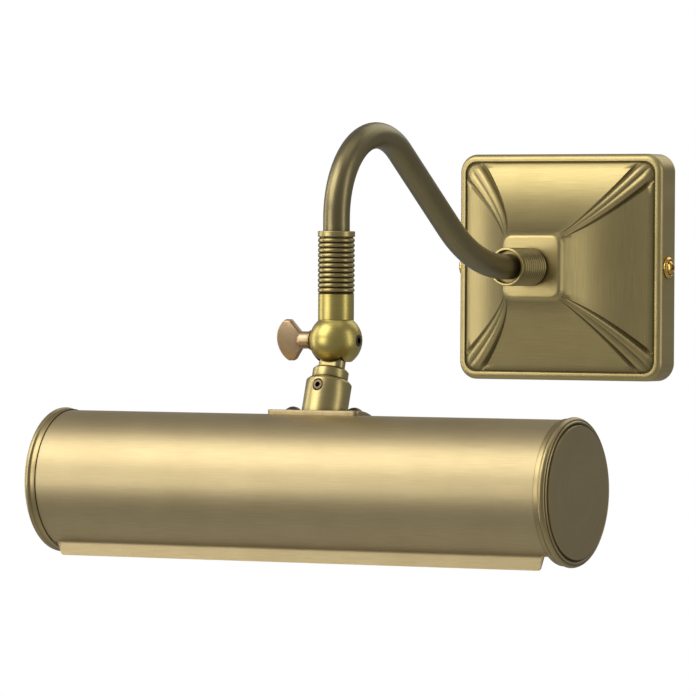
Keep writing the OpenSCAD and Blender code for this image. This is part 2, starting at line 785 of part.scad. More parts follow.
module lampholder() {
    r = holder_d / 2;
    bore = lamp_cap_d / 2 + 0.3;
    deep = holder_mouth + lamp_cap_h + 2.5;
    entry_h = wire_z + wire_r + 0.6 - lamp_z;
    lamp_turn([[0, deep], [bore, deep], [bore, holder_mouth], [r, holder_mouth], [r, holder_mouth + 14],
               [r - 1.5, holder_mouth + 16], [r - 1.5, holder_back - 2], [r - 3.5, holder_back],
               [nipple_d / 2, holder_back], [nipple_d / 2, tab_x + nut_h + 2], [0, tab_x + nut_h + 2]]);
    at_shade() translate([entry_x, -2.4, lamp_z + r - 3]) cube([entry_len, 4.8, entry_h - r + 3]);
}

module lampholder_right() {
    color(plastic) lampholder();
}

module lampholder_left() {
    color(plastic) mirror([1, 0, 0]) lampholder();
}

module holder_nuts() {
    color(steel) for (side = [0, 1]) mirror([side, 0, 0]) at_shade()
        translate([tab_x, 0, lamp_z]) rotate([0, 90, 0]) hex_nut(nut_af, nut_h, nipple_d / 2 + seat_gap);
}

module lamp_cap() {
    r = lamp_cap_d / 2;
    lamp_turn([[0, holder_mouth], [r, holder_mouth], [r, holder_mouth + lamp_cap_h - 5],
               [3, holder_mouth + lamp_cap_h - 1], [0, holder_mouth + lamp_cap_h]]);
}

module lamp_cap_right() {
    color(steel) lamp_cap();
}

module lamp_cap_left() {
    color(steel) mirror([1, 0, 0]) lamp_cap();
}

module lamp_glass() {
    r = lamp_d / 2;
    tip = holder_mouth - glass_len;
    at_shade() translate([0, 0, lamp_z]) rotate([0, 90, 0]) difference() {
        union() {
            rod_z(holder_mouth - 3, holder_mouth, lamp_cap_d / 2);
            translate([0, 0, holder_mouth - 9]) cylinder(h = 6, r1 = r, r2 = lamp_cap_d / 2);
            rod_z(tip + r, holder_mouth - 9, r);
            translate([0, 0, tip + r]) sphere(r = r);
        }
        rod_z(holder_mouth - 4, holder_mouth + cut, lamp_cap_d / 2 - glass_t);
        translate([0, 0, holder_mouth - 9.4])
            cylinder(h = 6, r1 = r - glass_t, r2 = lamp_cap_d / 2 - glass_t);
        rod_z(tip + r, holder_mouth - 9.4, r - glass_t);
        translate([0, 0, tip + r]) sphere(r = r - glass_t);
    }
}

module lamp_glass_right() {
    color(glass) lamp_glass();
}

module lamp_glass_left() {
    color(glass) mirror([1, 0, 0]) lamp_glass();
}

module lamp_wires() {
    down_x = wire_r + 0.3;
    color([0.5, 0.3, 0.15]) for (side = [0, 1]) mirror([side, 0, 0]) at_shade() {
        translate([down_x, 0, 0]) rod_z(wire_z + wire_bend, nipple_top, wire_r);
        translate([down_x + wire_bend, 0, wire_z + wire_bend]) rotate([90, 0, 0]) rotate([0, 0, 180])
            rotate_extrude(angle = 90) translate([wire_bend, 0]) circle(r = wire_r);
        translate([0, 0, wire_z]) rod_x(down_x + wire_bend, entry_x, wire_r);
    }
}

wall_bracket();
cable_grommet();
terminal_block();
terminal_screws();
earth_screw();
back_plate();
plate_screws();
plate_screw_cups();
collar_nipple();
collar_nut();
collar_washer();
wall_collar();
arm_tube();
arm_cable();
arm_end_sleeve();
knuckle_housing();
knuckle_lock_screw();
clamp_washer();
wing_screw();
tilt_tongue();
stem_wires();
stem_socket();
socket_grub_screw();
saddle_plate();
saddle_screws();
saddle_nuts();
shade_nipple();
shade_nipple_nut();
shade_shell();
end_cap_left();
end_cap_right();
lamp_carrier();
lampholder_left();
lampholder_right();
holder_nuts();
lamp_cap_left();
lamp_cap_right();
lamp_glass_left();
lamp_glass_right();
lamp_wires();
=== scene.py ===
"""The looks of a wall-mounted picture light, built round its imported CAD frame.

Shapes are drawn in millimetres in a frame of their own and placed by a matrix, so sizes below are in
millimetres unless a name says otherwise. Every piece carries a "grain" attribute: its first two numbers run
along the brushing of the metal and the third one across it.
"""

import json
import math

import bmesh
import bpy
from mathutils import Matrix, Vector

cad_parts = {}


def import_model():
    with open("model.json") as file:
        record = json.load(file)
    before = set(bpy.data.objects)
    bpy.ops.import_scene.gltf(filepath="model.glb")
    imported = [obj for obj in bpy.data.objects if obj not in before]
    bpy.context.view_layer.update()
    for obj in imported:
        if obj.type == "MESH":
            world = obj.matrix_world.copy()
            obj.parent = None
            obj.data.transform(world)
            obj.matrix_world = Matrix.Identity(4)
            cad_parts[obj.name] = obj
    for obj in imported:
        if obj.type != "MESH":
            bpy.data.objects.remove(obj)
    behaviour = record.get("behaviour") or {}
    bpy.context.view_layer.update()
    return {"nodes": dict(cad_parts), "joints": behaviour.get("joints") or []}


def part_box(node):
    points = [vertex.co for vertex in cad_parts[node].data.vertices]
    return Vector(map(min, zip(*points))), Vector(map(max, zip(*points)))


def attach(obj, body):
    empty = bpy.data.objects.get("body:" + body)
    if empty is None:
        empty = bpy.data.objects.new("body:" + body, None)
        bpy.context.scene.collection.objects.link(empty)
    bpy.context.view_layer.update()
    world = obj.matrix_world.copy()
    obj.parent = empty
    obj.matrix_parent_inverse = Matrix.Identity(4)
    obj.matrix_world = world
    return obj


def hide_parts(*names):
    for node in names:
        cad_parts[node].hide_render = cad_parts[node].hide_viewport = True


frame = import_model()

MM = 0.001
SEGMENTS = 96

# Places, from the frame
JOINTS = {j["name"]: j for j in frame["joints"]}
TILT_AXIS = Vector(JOINTS["shade_tilt"]["pos_m"])
STEM_UP = Vector(JOINTS["shade_swivel"]["axis"]).normalized()
LEFT_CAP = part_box("end_cap_left")
RIGHT_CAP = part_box("end_cap_right")
SHADE_AXIS = (LEFT_CAP[0] + RIGHT_CAP[1]) / 2
SHADE_LEN = (RIGHT_CAP[1].x - LEFT_CAP[0].x) / MM
REACH = -TILT_AXIS.y / MM
KNUCKLE_Z = TILT_AXIS.z / MM
PLATE_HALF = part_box("back_plate")[1].x / MM
PLATE_FRONT = -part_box("back_plate")[0].y / MM
PLATE_SCREW_Y = -(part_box("plate_screws")[0].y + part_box("plate_screws")[1].y) / 2 / MM
COLLAR = [-y / MM for y in (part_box("wall_collar")[1].y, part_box("wall_collar")[0].y)]
SLEEVE = [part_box("arm_end_sleeve")[i].z / MM - KNUCKLE_Z for i in (0, 1)]
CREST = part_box("arm_tube")[1].z / MM
TUBE_R = 5.8
HOLDER_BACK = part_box("lamp_carrier")[1].x / MM - 2.5

# Turned pieces, as radii and as heights along their own axes
RIB_DEPTH = 0.75
BALL_R = 11.5
BALL_FLAT = 9.3
BARREL_R = 7.75
SHOULDER = [-17.8, -13.0]
SOCKET_R = 9.9
SOCKET_TOP = 47.2
GRUB_Z = 42.6
SADDLE_R = 32.5

# Shade
SHADE_R = 30.5
SHEET = 0.8
SHEET_LEN = 251.0
SLOT = [-12.0, 92.0]     # edges of the slot, in degrees from the point opposite the stem
LIP = 6.2
LIP_TURN = 30.0
LIP_LEN = 237.8
LIP_SLANT = 2.1
LAMP_Z = 4.0


def axes(x, y, z, origin=(0, 0, 0)):
    """A matrix whose columns are the given axes, with its origin in metres."""
    turn = Matrix((x, y, z)).transposed().to_4x4()
    return Matrix.Translation(origin) @ turn


X, Y, Z = Vector((1, 0, 0)), Vector((0, 1, 0)), Vector((0, 0, 1))
ON_WALL = axes(X, Z, -Y)                              # +Z out of the wall, +Y up
AT_KNUCKLE = Matrix.Translation(TILT_AXIS)
AT_TONGUE = axes(X, STEM_UP.cross(X), STEM_UP, TILT_AXIS)
AT_SHADE = axes(X, STEM_UP.cross(X), STEM_UP, SHADE_AXIS)    # +Z to the knuckle, +Y to the wall
FACE_RIGHT = axes(Y, Z, X)                            # +Z becomes +X
FACE_LEFT = axes(-Y, Z, -X)                           # +Z becomes -X
FACE_FRONT = axes(X, Z, -Y)                           # +Z becomes -Y


def shift(x=0, y=0, z=0):
    """A move in millimetres."""
    return Matrix.Translation(Vector((x, y, z)) * MM)


# ---- meshes ----

def filleted(corners, closed=True, step=18):
    """A polyline with each corner rounded: corners are (a, b) or (a, b, radius)."""
    points = []
    count = len(corners)
    for i, corner in enumerate(corners):
        here = Vector(corner[:2])
        radius = corner[2] if len(corner) > 2 else 0
        if radius <= 0 or (not closed and i in (0, count - 1)):
            points.append(here)
            continue
        before = Vector(corners[i - 1][:2]) - here
        after = Vector(corners[(i + 1) % count][:2]) - here
        room = min(before.length, after.length) * 0.49
        before.normalize()
        after.normalize()
        turn = math.pi - before.angle(after)
        if turn < 0.02:
            points.append(here)
            continue
        cut = min(radius * math.tan(turn / 2), room)
        radius = cut / math.tan(turn / 2)
        centre = here + (before + after).normalized() * math.hypot(radius, cut)
        start, end = here + before * cut - centre, here + after * cut - centre
        steps = max(2, math.ceil(math.degrees(turn) / step))
        for k in range(steps + 1):
            t = turn * k / steps
            points.append(centre + (start * math.sin(turn - t) + end * math.sin(t)) / math.sin(turn))
    return [tuple(p) for p in points]


def arc(cx, cy, radius, start, end, steps):
    """Points along an arc, angles in degrees."""
    angles = [math.radians(start + (end - start) * k / steps) for k in range(steps + 1)]
    return [(cx + radius * math.cos(a), cy + radius * math.sin(a)) for a in angles]


def make_mesh(name, points, faces, grain, sharp=35):
    """A mesh from points in millimetres, the grain at each, and faces; edges above the angle stay crisp.

    A point's fourth value, if it has one, says how much painted shade darkens it there.
    """
    mesh = bpy.data.meshes.new(name)
    mesh.from_pydata([Vector(p[:3]) * MM for p in points], [], faces)
    layer = mesh.attributes.new("grain", "FLOAT_VECTOR", "POINT")
    layer.data.foreach_set("vector", [value for g in grain for value in g[:3]])
    layer = mesh.attributes.new("painted_shade", "FLOAT", "POINT")
    layer.data.foreach_set("value", [p[3] if len(p) > 3 else 0 for p in points])
    bm = bmesh.new()
    bm.from_mesh(mesh)
    bmesh.ops.remove_doubles(bm, verts=bm.verts, dist=0.002 * MM)
    bmesh.ops.recalc_face_normals(bm, faces=bm.faces)
    bm.to_mesh(mesh)
    bm.free()
    shade(mesh, sharp)
    return mesh


def shade(mesh, sharp=35):
    """Smooth shading with crisp edges where faces meet at more than the angle."""
    bm = bmesh.new()
    bm.from_mesh(mesh)
    for face in bm.faces:
        face.smooth = True
    for edge in bm.edges:
        edge.smooth = edge.calc_face_angle(0) < math.radians(sharp)
    bm.to_mesh(mesh)
    bm.free()


def lathe_mesh(name, profile, segments=SEGMENTS):
    """Turns an outline of (radius, height) points about Z. It is closed, or starts and ends on the axis."""
    points, faces, grain, rows = [], [], [], []
    travelled = 0
    closed = profile[0][0] > 1e-6
    for i, (r, z, *dark) in enumerate(profile):
        travelled += math.dist(profile[i - 1][:2], (r, z)) if i else 0
        start = len(points)
        spokes = segments if r > 1e-6 else 1
        for k in range(spokes):
            a = 2 * math.pi * k / segments
            points.append((r * math.cos(a), r * math.sin(a), z, *dark))
            grain.append((r * math.cos(a), r * math.sin(a), travelled))
        rows.append((start, spokes))
    pairs = zip(rows, rows[1:] + (rows[:1] if closed else []))
    for (a, na), (b, nb) in pairs:
        for k in range(segments):
            n = (k + 1) % segments
            quad = [a + k % na, a + n % na, b + n % nb, b + k % nb]
            faces.append(list(dict.fromkeys(quad)))
    return make_mesh(name, points, faces, grain)


def loft_mesh(name, rings, grain, loop=False, sharp=35):
    """Quads between rings of equally many points; grain gives one vector per ring point."""
    size = len(rings[0])
    points = [p for ring in rings for p in ring]
    faces = []
    rows = len(rings) if loop else len(rings) - 1
    for k in range(rows):
        low, high = k * size, ((k + 1) % len(rings)) * size
        for i in range(size):
            j = (i + 1) % size
            faces.append((low + i, low + j, high + j, high + i))
    if not loop:
        faces.append(tuple(reversed(range(size))))
        faces.append(tuple(range((len(rings) - 1) * size, len(rings) * size)))
    return make_mesh(name, points, faces, [g for row in grain for g in row], sharp)


def prism_mesh(name, outline, depth):
    """An outline of (x, y) points, extruded from z = -depth / 2 to depth / 2."""
    rings = [[(x, y, side * depth / 2) for x, y in outline] for side in (-1, 1)]
    return loft_mesh(name, rings, rings)


# ---- pieces ----

PIECES = []


def put(name, mesh, place, body, material, replaces=()):
    """Shows a mesh as a piece that rides on a body and stands for the CAD nodes given."""
    piece = bpy.data.objects.new(name, mesh)
    bpy.context.scene.collection.objects.link(piece)
    piece.matrix_world = place
    mesh.materials.clear()
    mesh.materials.append(material)
    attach(piece, body)
    if replaces:
        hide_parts(*replaces)
    PIECES.append(piece)
    return piece


def settle(piece):
    """Moves a piece's placing into its mesh, so that its own box is square to the frame."""
    bpy.context.view_layer.update()
    piece.data.transform(piece.matrix_world)
    piece.matrix_world = Matrix()


def apply_modifiers(piece):
    """Bakes the piece's modifiers into its own mesh."""
    bpy.context.view_layer.update()
    evaluated = piece.evaluated_get(bpy.context.evaluated_depsgraph_get())
    mesh = bpy.data.meshes.new_from_object(evaluated)
    piece.modifiers.clear()
    piece.data = mesh
    shade(mesh)


def cut(piece, tools):
    """Subtracts tool meshes, each given with its place in the piece's own frame."""
    helpers = []
    for mesh, place in tools:
        helper = bpy.data.objects.new("tool", mesh)
        bpy.context.scene.collection.objects.link(helper)
        helper.matrix_world = piece.matrix_world @ place
        boolean = piece.modifiers.new("cut", "BOOLEAN")
        boolean.operation = "DIFFERENCE"
        boolean.solver = "EXACT"
        boolean.object = helper
        helpers.append(helper)
    apply_modifiers(piece)
    for helper in helpers:
        bpy.data.objects.remove(helper)


def bevel(piece, width, angle=40, segments=2):
    """Rounds the edges sharper than the angle."""
    rounding = piece.modifiers.new("bevel", "BEVEL")
    rounding.width = width * MM
    rounding.segments = segments
    rounding.limit_method = "ANGLE"
    rounding.angle_limit = math.radians(angle)
    apply_modifiers(piece)


# ---- materials ----

def shader(name):
    """A new material with its node tree and its Principled shader."""
    material = bpy.data.materials.new(name)
    material.use_nodes = True
    tree = material.node_tree
    return material, tree, tree.nodes["Principled BSDF"]


def node(tree, kind, **values):
    """A node with properties set by name, and inputs set where the name starts with in_."""
    made = tree.nodes.new(kind)
    for key, value in values.items():
        if key.startswith("in_"):
            made.inputs[key[3:].replace("_", " ")].default_value = value
        else:
            setattr(made, key, value)
    return made


def ramp(tree, source, low, high, from_min=0.3, from_max=0.7):
    """Maps a value from one range to two output values."""
    made = tree.nodes.new("ShaderNodeMapRange")
    for key, value in (("From Min", from_min), ("From Max", from_max), ("To Min", low), ("To Max", high)):
        made.inputs[key].default_value = value
    tree.links.new(source, made.inputs["Value"])
    return made.outputs["Result"]


def mix(tree, factor, a, b):
    """Mixes two colours; each may be a colour or a socket."""
    made = node(tree, "ShaderNodeMix", data_type="RGBA")
    for socket, value in ((made.inputs[0], factor), (made.inputs[6], a), (made.inputs[7], b)):
        if isinstance(value, bpy.types.NodeSocket):
            tree.links.new(value, socket)
        else:
            socket.default_value = value
    return made.outputs[2]


def noise(tree, vector, scale, detail=2.0, roughness=0.5):
    """A noise texture's value along the given coordinates."""
    made = node(tree, "ShaderNodeTexNoise", in_Scale=scale, in_Detail=detail, in_Roughness=roughness)
    tree.links.new(vector, made.inputs["Vector"])
    return made.outputs["Fac"]


def stretched(tree, vector, scale):
    """Coordinates multiplied by a scale along each axis."""
    made = node(tree, "ShaderNodeVectorMath", operation="MULTIPLY")
    made.inputs[1].default_value = scale
    tree.links.new(vector, made.inputs[0])
    return made.outputs["Vector"]


def crevice(tree, reach):
    """Ambient occlusion within the reach: less than one where the surface is hemmed in, the mask for painted
    shade.
    """
    made = node(tree, "ShaderNodeAmbientOcclusion", samples=8, in_Distance=reach * MM)
    return made.outputs["AO"]


def brushed_metal(name, light, dark, roughness, along=0.05, across=5.0, relief=0.25, painted_shade=0.35,
                  cloud=0.25, spread=0.06):
    """Brushed metal: streaks along the grain, cloudy tone, and painted shade in its crevices and marked
    grooves.
    """
    material, tree, bsdf = shader(name)
    grain = node(tree, "ShaderNodeAttribute", attribute_name="grain").outputs["Vector"]
    place = node(tree, "ShaderNodeTexCoord").outputs["Object"]
    streaks = noise(tree, stretched(tree, grain, (along, along, across)), 1.0, 3.0, 0.65)
    hairlines = noise(tree, stretched(tree, grain, (along * 2.5, along * 2.5, across * 3)), 1.0, 2.0, 0.6)
    clouds = noise(tree, place, 45, 3.0, 0.55)
    tone = mix(tree, ramp(tree, clouds, 0, cloud), light, dark)
    tone = mix(tree, ramp(tree, streaks, 0, 0.4, 0.35, 0.65), tone, dark)
    # painted shade: a dark copy of the metal, laid into crevices and seams that ambient occlusion finds, and
    # into the grooves marked on the mesh
    painted_shade_colour = [c * 0.22 for c in dark[:3]] + [1]
    depth = ramp(tree, crevice(tree, 2.2), painted_shade, 0, 0.25, 0.95)
    tone = mix(tree, depth, tone, painted_shade_colour)
    groove_shade_mask = node(tree, "ShaderNodeAttribute", attribute_name="painted_shade").outputs["Fac"]
    tone = mix(tree, ramp(tree, groove_shade_mask, 0, 0.9, 0, 1), tone, painted_shade_colour)
    tree.links.new(tone, bsdf.inputs["Base Color"])
    rough = ramp(tree, hairlines, roughness - spread, roughness + spread)
    tree.links.new(rough, bsdf.inputs["Roughness"])
    bump = node(tree, "ShaderNodeBump", in_Strength=relief, in_Distance=0.02 * MM)
    tree.links.new(streaks, bump.inputs["Height"])
    tree.links.new(bump.outputs["Normal"], bsdf.inputs["Normal"])
    bsdf.inputs["Metallic"].default_value = 1
    return material


def plain_metal(name, colour, roughness, scale=900, relief=0.15, metallic=1.0):
    """Plated, painted or polished metal with a fine uneven surface."""
    material, tree, bsdf = shader(name)
    place = node(tree, "ShaderNodeTexCoord").outputs["Object"]
    fine = noise(tree, place, scale, 3.0, 0.6)
    clouds = noise(tree, place, 120, 2.0)
    shadowed = [c * 0.7 for c in colour[:3]] + [1]
    # painted shade: a dark copy of the colour, laid where ambient occlusion finds crevices and seams
    painted_shade_colour = [c * 0.15 for c in colour[:3]] + [1]
    tone = mix(tree, ramp(tree, clouds, 0, 1), colour, shadowed)
    tone = mix(tree, ramp(tree, crevice(tree, 1.0), 0.5, 0, 0.2, 0.9), tone, painted_shade_colour)
    tree.links.new(tone, bsdf.inputs["Base Color"])
    tree.links.new(ramp(tree, fine, roughness * 0.75, roughness * 1.25), bsdf.inputs["Roughness"])
    bump = node(tree, "ShaderNodeBump", in_Strength=relief, in_Distance=0.03 * MM)
    tree.links.new(fine, bump.inputs["Height"])
    tree.links.new(bump.outputs["Normal"], bsdf.inputs["Normal"])
    bsdf.inputs["Metallic"].default_value = metallic
    return material


def moulded(name, colour, roughness):
    """Plastic or rubber with a moulded, slightly mottled skin."""
    return plain_metal(name, colour, roughness, scale=1400, relief=0.2, metallic=0.0)


def woven_sleeve(name, colour):
    """Braided heat-proof sleeving."""
    material, tree, bsdf = shader(name)
    place = node(tree, "ShaderNodeTexCoord").outputs["Object"]
    braid = node(tree, "ShaderNodeTexWave", wave_type="BANDS", bands_direction="DIAGONAL",
                 in_Scale=900, in_Distortion=1.5)
    tree.links.new(place, braid.inputs["Vector"])
    dark = [c * 0.45 for c in colour[:3]] + [1]
    tree.links.new(mix(tree, braid.outputs["Fac"], dark, colour), bsdf.inputs["Base Color"])
    bump = node(tree, "ShaderNodeBump", in_Strength=0.6, in_Distance=0.1 * MM)
    tree.links.new(braid.outputs["Fac"], bump.inputs["Height"])
    tree.links.new(bump.outputs["Normal"], bsdf.inputs["Normal"])
    bsdf.inputs["Roughness"].default_value = 0.75
    return material


def clear_glass(name):
    """Thin clear lamp glass with faint ripples."""
    material, tree, bsdf = shader(name)
    place = node(tree, "ShaderNodeTexCoord").outputs["Object"]
    ripple = noise(tree, place, 60, 1.0)
    bump = node(tree, "ShaderNodeBump", in_Strength=0.05, in_Distance=0.2 * MM)
    tree.links.new(ripple, bump.inputs["Height"])
    tree.links.new(bump.outputs["Normal"], bsdf.inputs["Normal"])
    bsdf.inputs["Base Color"].default_value = (0.97, 0.96, 0.93, 1)
    bsdf.inputs["Roughness"].default_value = 0.03
    bsdf.inputs["Transmission Weight"].default_value = 1
    bsdf.inputs["IOR"].default_value = 1.45
    return material


LIGHT_BRASS = (0.47, 0.375, 0.165, 1)
DARK_BRASS = (0.29, 0.225, 0.085, 1)
SHADE_BRASS = brushed_metal("shade_brass", (0.47, 0.375, 0.20, 1), (0.30, 0.23, 0.11, 1), 0.47)
PLATE_BRASS = brushed_metal("plate_brass", LIGHT_BRASS, DARK_BRASS, 0.44, across=4.0, painted_shade=0.8)
TURNED_BRASS = brushed_metal("turned_brass", (0.45, 0.36, 0.155, 1), (0.28, 0.215, 0.075, 1), 0.36,
                             across=7.0, painted_shade=0.9, cloud=0.15)
BALL_BRASS = brushed_metal("ball_brass", (0.52, 0.42, 0.13, 1), (0.33, 0.26, 0.06, 1), 0.36,
                           across=8.0, relief=0.15, painted_shade=0.7, cloud=0.15)
ARM_BRASS = brushed_metal("arm_brass", (0.26, 0.215, 0.105, 1), (0.15, 0.12, 0.05, 1), 0.36, across=6.0)
CAP_BRASS = brushed_metal("cap_brass", (0.40, 0.315, 0.15, 1), (0.25, 0.19, 0.08, 1), 0.38, across=6.0,
                          painted_shade=0.9, cloud=0.2)
ROSE_DARK = brushed_metal("rose_dark", (0.30, 0.20, 0.10, 1), (0.18, 0.12, 0.05, 1), 0.36, across=4.0)
ROSE_BRASS = brushed_metal("rose_brass", (0.50, 0.35, 0.20, 1), (0.35, 0.235, 0.12, 1), 0.40, across=4.0)
GOLD = plain_metal("polished_brass", (0.90, 0.55, 0.13, 1), 0.14)
BRONZE = plain_metal("dark_bronze", (0.12, 0.085, 0.055, 1), 0.30)
ZINC = plain_metal("zinc_plate", (0.62, 0.62, 0.60, 1), 0.34)
GREEN = plain_metal("earth_green", (0.10, 0.30, 0.08, 1), 0.4)
ALUMINIUM = plain_metal("lamp_metal", (0.75, 0.75, 0.73, 1), 0.25)
RUBBER = moulded("black_rubber", (0.02, 0.02, 0.02, 1), 0.6)
SHEATH = moulded("cable_sheath", (0.035, 0.035, 0.035, 1), 0.45)
PLASTIC = moulded("white_plastic", (0.80, 0.79, 0.74, 1), 0.42)
SLEEVING = woven_sleeve("wire_sleeve", (0.35, 0.16, 0.06, 1))
GLASS = clear_glass("lamp_glass")


# ---- wall plate ----

PLATE_SIDE = 14.3        # depth of the straight side
PLATE_SHEET = 1.2
PLATE_CORNER = 8.5
PLATE_EDGE = 2.6         # radius of the front edge
RIM = 3.6                # flat rim outside the relief
RIM_GROOVE = 0.55
BOSS_HALF = 15.4
BOSS_EDGE = 2.2
BOSS_CORNER = 5.0
FLANK_SAG = 0.09
BEAD_WIDTHS = (8.2, 1.2) # half width of the corner beads at the rim and at the boss
BEAD_HEIGHT = 0.135      # of the half width
NIPPLE_HOLE = 5.05


def bead_profile(u):
    """Height across half a corner band: a valley on the mitre, a round bead, then a groove at the flank."""
    if u >= 1:
        return 0.0
    if u < 0.62:
        return 0.25 + 0.75 * math.sin(math.pi * (u / 0.62)) ** 0.8 - 0.25 * (u / 0.62) ** 4
    return -math.sin(math.pi * (u - 0.62) / 0.38) * 1.05


def bead_painted_shade(u):
    """Painted shade across half a corner band: dark in the groove at the flank, faint in the valley on the
    mitre.
    """
    if u < 0.62:
        return 0.45 * max(0, 1 - u / 0.14)
    return 0.95 * math.sin(math.pi * (u - 0.62) / 0.38) ** 2 if u < 1 else 0.0


def plate_ring(half, corner, depth, band=0.0, height=0.0, lean=(0.0, 1.0), dark=0.0, groove=0.0, samples=26):
    """Points of a rounded square, dense at its corners, with the corner beads raised along the lean."""
    corner = min(corner, half * 0.999)
    bend = corner * math.pi / 4
    length = bend + half - corner
    band = band or min(8.0, length * 0.6)
    steps = [band * k / 17 for k in range(18)]
    steps += [band + (length - band) * k / (samples - 18) for k in range(1, samples - 17)]
    eighth = []
    for s in steps:
        raised = height * bead_profile(s / band)
        out = raised * lean[0]
        if s < bend:
            a = math.radians(45) - s / corner
            x = half - corner + (corner + out) * math.cos(a)
            y = half - corner + (corner + out) * math.sin(a)
        else:
            x = half + out
            y = half - corner - (s - bend)
        # the fourth value is painted shade: the darkness given, or that in the bead's grooves
        eighth.append((x, y, depth + raised * lean[1], max(dark, groove * bead_painted_shade(s / band))))
    mirrored = [(y, x, z, d) for x, y, z, d in eighth[1:-1]]     # in the corner's diagonal
    quarter = eighth[::-1] + mirrored
    points = []
    for turn in range(4):
        c, s = ((1, 0), (0, 1), (-1, 0), (0, -1))[turn]
        points += [(c * x - s * y, s * x + c * y, z, d) for x, y, z, d in quarter]
    return points


def plate_outer_rings():
    """Rings from the wall, over the rim and the concave flanks, to the boss."""
    rings = [plate_ring(PLATE_HALF, PLATE_CORNER, z) for z in (0, 0.3, 4, PLATE_SIDE - PLATE_EDGE - 0.2)]
    for k in range(9):
        a = math.radians(90 * k / 8)
        inset = PLATE_EDGE * (1 - math.cos(a))
        drop = PLATE_EDGE * (1 - math.sin(a))
        rings.append(plate_ring(PLATE_HALF - inset, PLATE_CORNER - inset, PLATE_SIDE - drop))
    rim = PLATE_HALF - RIM
    corner = PLATE_CORNER - RIM + 0.6
    # the rim's groove gets painted shade, darkest at its floor
    for inset, drop, dark in ((-0.45, 0, 0), (-0.2, 0.04, 0.3), (-0.05, 0.2, 0.8), (0.1, RIM_GROOVE, 1),
                              (0.35, RIM_GROOVE, 1)):
        rings.append(plate_ring(rim - inset, corner + 0.2, PLATE_SIDE - drop, dark=dark))
    start = Vector((rim - 0.5, PLATE_SIDE - 0.3))
    end = Vector((BOSS_HALF + 0.5, PLATE_FRONT - BOSS_EDGE - 0.3))
    along = end - start
    side = Vector((-along.y, along.x)) * FLANK_SAG * 4
    steps = 40
    for k in range(steps + 1):
        t = k / steps
        p = start + along * t + side * t * (1 - t)
        heading = (along + side * (1 - 2 * t)).normalized()
        lean = (heading.y, -heading.x)
        wide = BEAD_WIDTHS[0] + (BEAD_WIDTHS[1] - BEAD_WIDTHS[0]) * t
        fade = min(1, t * 14, (1 - t) * 9)
        # painted shade where the flank meets the rim and where it meets the boss
        dark = max(0, 1 - 14 * t) * 0.6 + max(0, t - 0.75) * 1.3
        rings.append(plate_ring(p.x, corner + (BOSS_CORNER - corner) * t, p.y, wide,
                                wide * BEAD_HEIGHT * fade, lean, dark, 1))
    for k in range(1, 8):
        a = math.radians(90 * k / 7)
        inset = BOSS_EDGE * (1 - math.cos(a))
        rings.append(plate_ring(BOSS_HALF - inset, BOSS_CORNER - inset / 2,
                                PLATE_FRONT - BOSS_EDGE * (1 - math.sin(a)) - 0.3, BEAD_WIDTHS[1]))
    square = rings[-1]
    for k in range(1, 7):
        t = k / 6
        ring = []
        for x, y, z, _ in square:
            r = math.hypot(x, y)
            ring.append((x * (1 - t) + x / r * NIPPLE_HOLE * t, y * (1 - t) + y / r * NIPPLE_HOLE * t,
                         z + 0.3 * math.sin(t * math.pi / 2)))
        rings.append(ring)
    return rings


def plate_grain(ring):
    """Brushing runs level on the upper and lower flanks and upright on the side ones."""
    return [(p[1], 0, p[0]) if abs(p[0]) > abs(p[1]) else (p[0], 0, p[1]) for p in ring]


def back_plate():
    """The pressed sheet, its inner skin a sheet's thickness inside the outer one."""
    outer = plate_outer_rings()
    inner = []
    for k, ring in enumerate(outer):
        skin = []
        for x, y, z, *_ in ring:
            inward = 1 - PLATE_SHEET / max(abs(x), abs(y))
            skin.append((x * inward, y * inward, 0 if k == 0 else max(0.02, z - PLATE_SHEET)))
        inner.append(skin)
    rings = outer + inner[::-1]
    mesh = loft_mesh("back_plate_relief", rings, [plate_grain(r) for r in rings], loop=True, sharp=50)
    put("back_plate_relief", mesh, ON_WALL, "fixed_arm", PLATE_BRASS, ["back_plate"])


back_plate()


# ---- screws and sleeves ----

RECESS_HALF = 0.42       # half the width of a cross recess's bars
RIB_PITCH = 2.15


def cross_recess(size, deep):
    """Two crossed bars, centred on z = 0, that cut a cross recess."""
    return [prism_mesh("bar", [(-a, -b), (a, -b), (a, b), (-a, b)], 2 * deep)
            for a, b in ((size, RECESS_HALF), (RECESS_HALF, size))]


def domed_head(radius, rim, dome, foot):
    """Half outline of a domed screw head above z = 0, from its shank up to the axis."""
    ball = (radius * radius + dome * dome) / (2 * dome)
    start = math.degrees(math.asin((ball - dome) / ball))
    return foot + [(radius - 0.15, 0), (radius, 0.15)] + arc(0, rim + dome - ball, ball, start, 89, 12) + \
        [(0, rim + dome)]


def hexagon(radius):
    """Corners of a hexagon socket, by its radius across them."""
    return arc(0, 0, radius, 0, 300, 5)


def plate_screws():
    """Domed screws in turned cups on both sides of the plate."""
    for side, facing in (("right", FACE_RIGHT), ("left", FACE_LEFT)):
        sign = 1 if side == "right" else -1
        place = shift(sign * PLATE_HALF, -PLATE_SCREW_Y) @ facing
        cup = filleted([(2.2, 0), (5, 0, 0.2), (5, 0.6, 0.25), (4.2, 1.5, 0.4), (3.6, 1.5, 0.3), (3.25, 0.45),
                        (2.2, 0.45)])
        put("plate_cup_" + side, lathe_mesh("plate_cup", cup), place, "fixed_arm", GOLD,
            ["plate_screw_cups"])
        head = domed_head(3.1, 0.9, 1.3, [(0, -8), (1.6, -8), (2, -7.5), (2, 0)])
        screw = put("plate_screw_" + side, lathe_mesh("plate_screw", head), place @ shift(z=0.5), "fixed_arm",
                    GOLD, ["plate_screws"])
        turn = Matrix.Rotation(0.5 * sign, 4, "Z")
        cut(screw, [(bar, turn @ shift(z=2.2)) for bar in cross_recess(1.7, 1.1)])


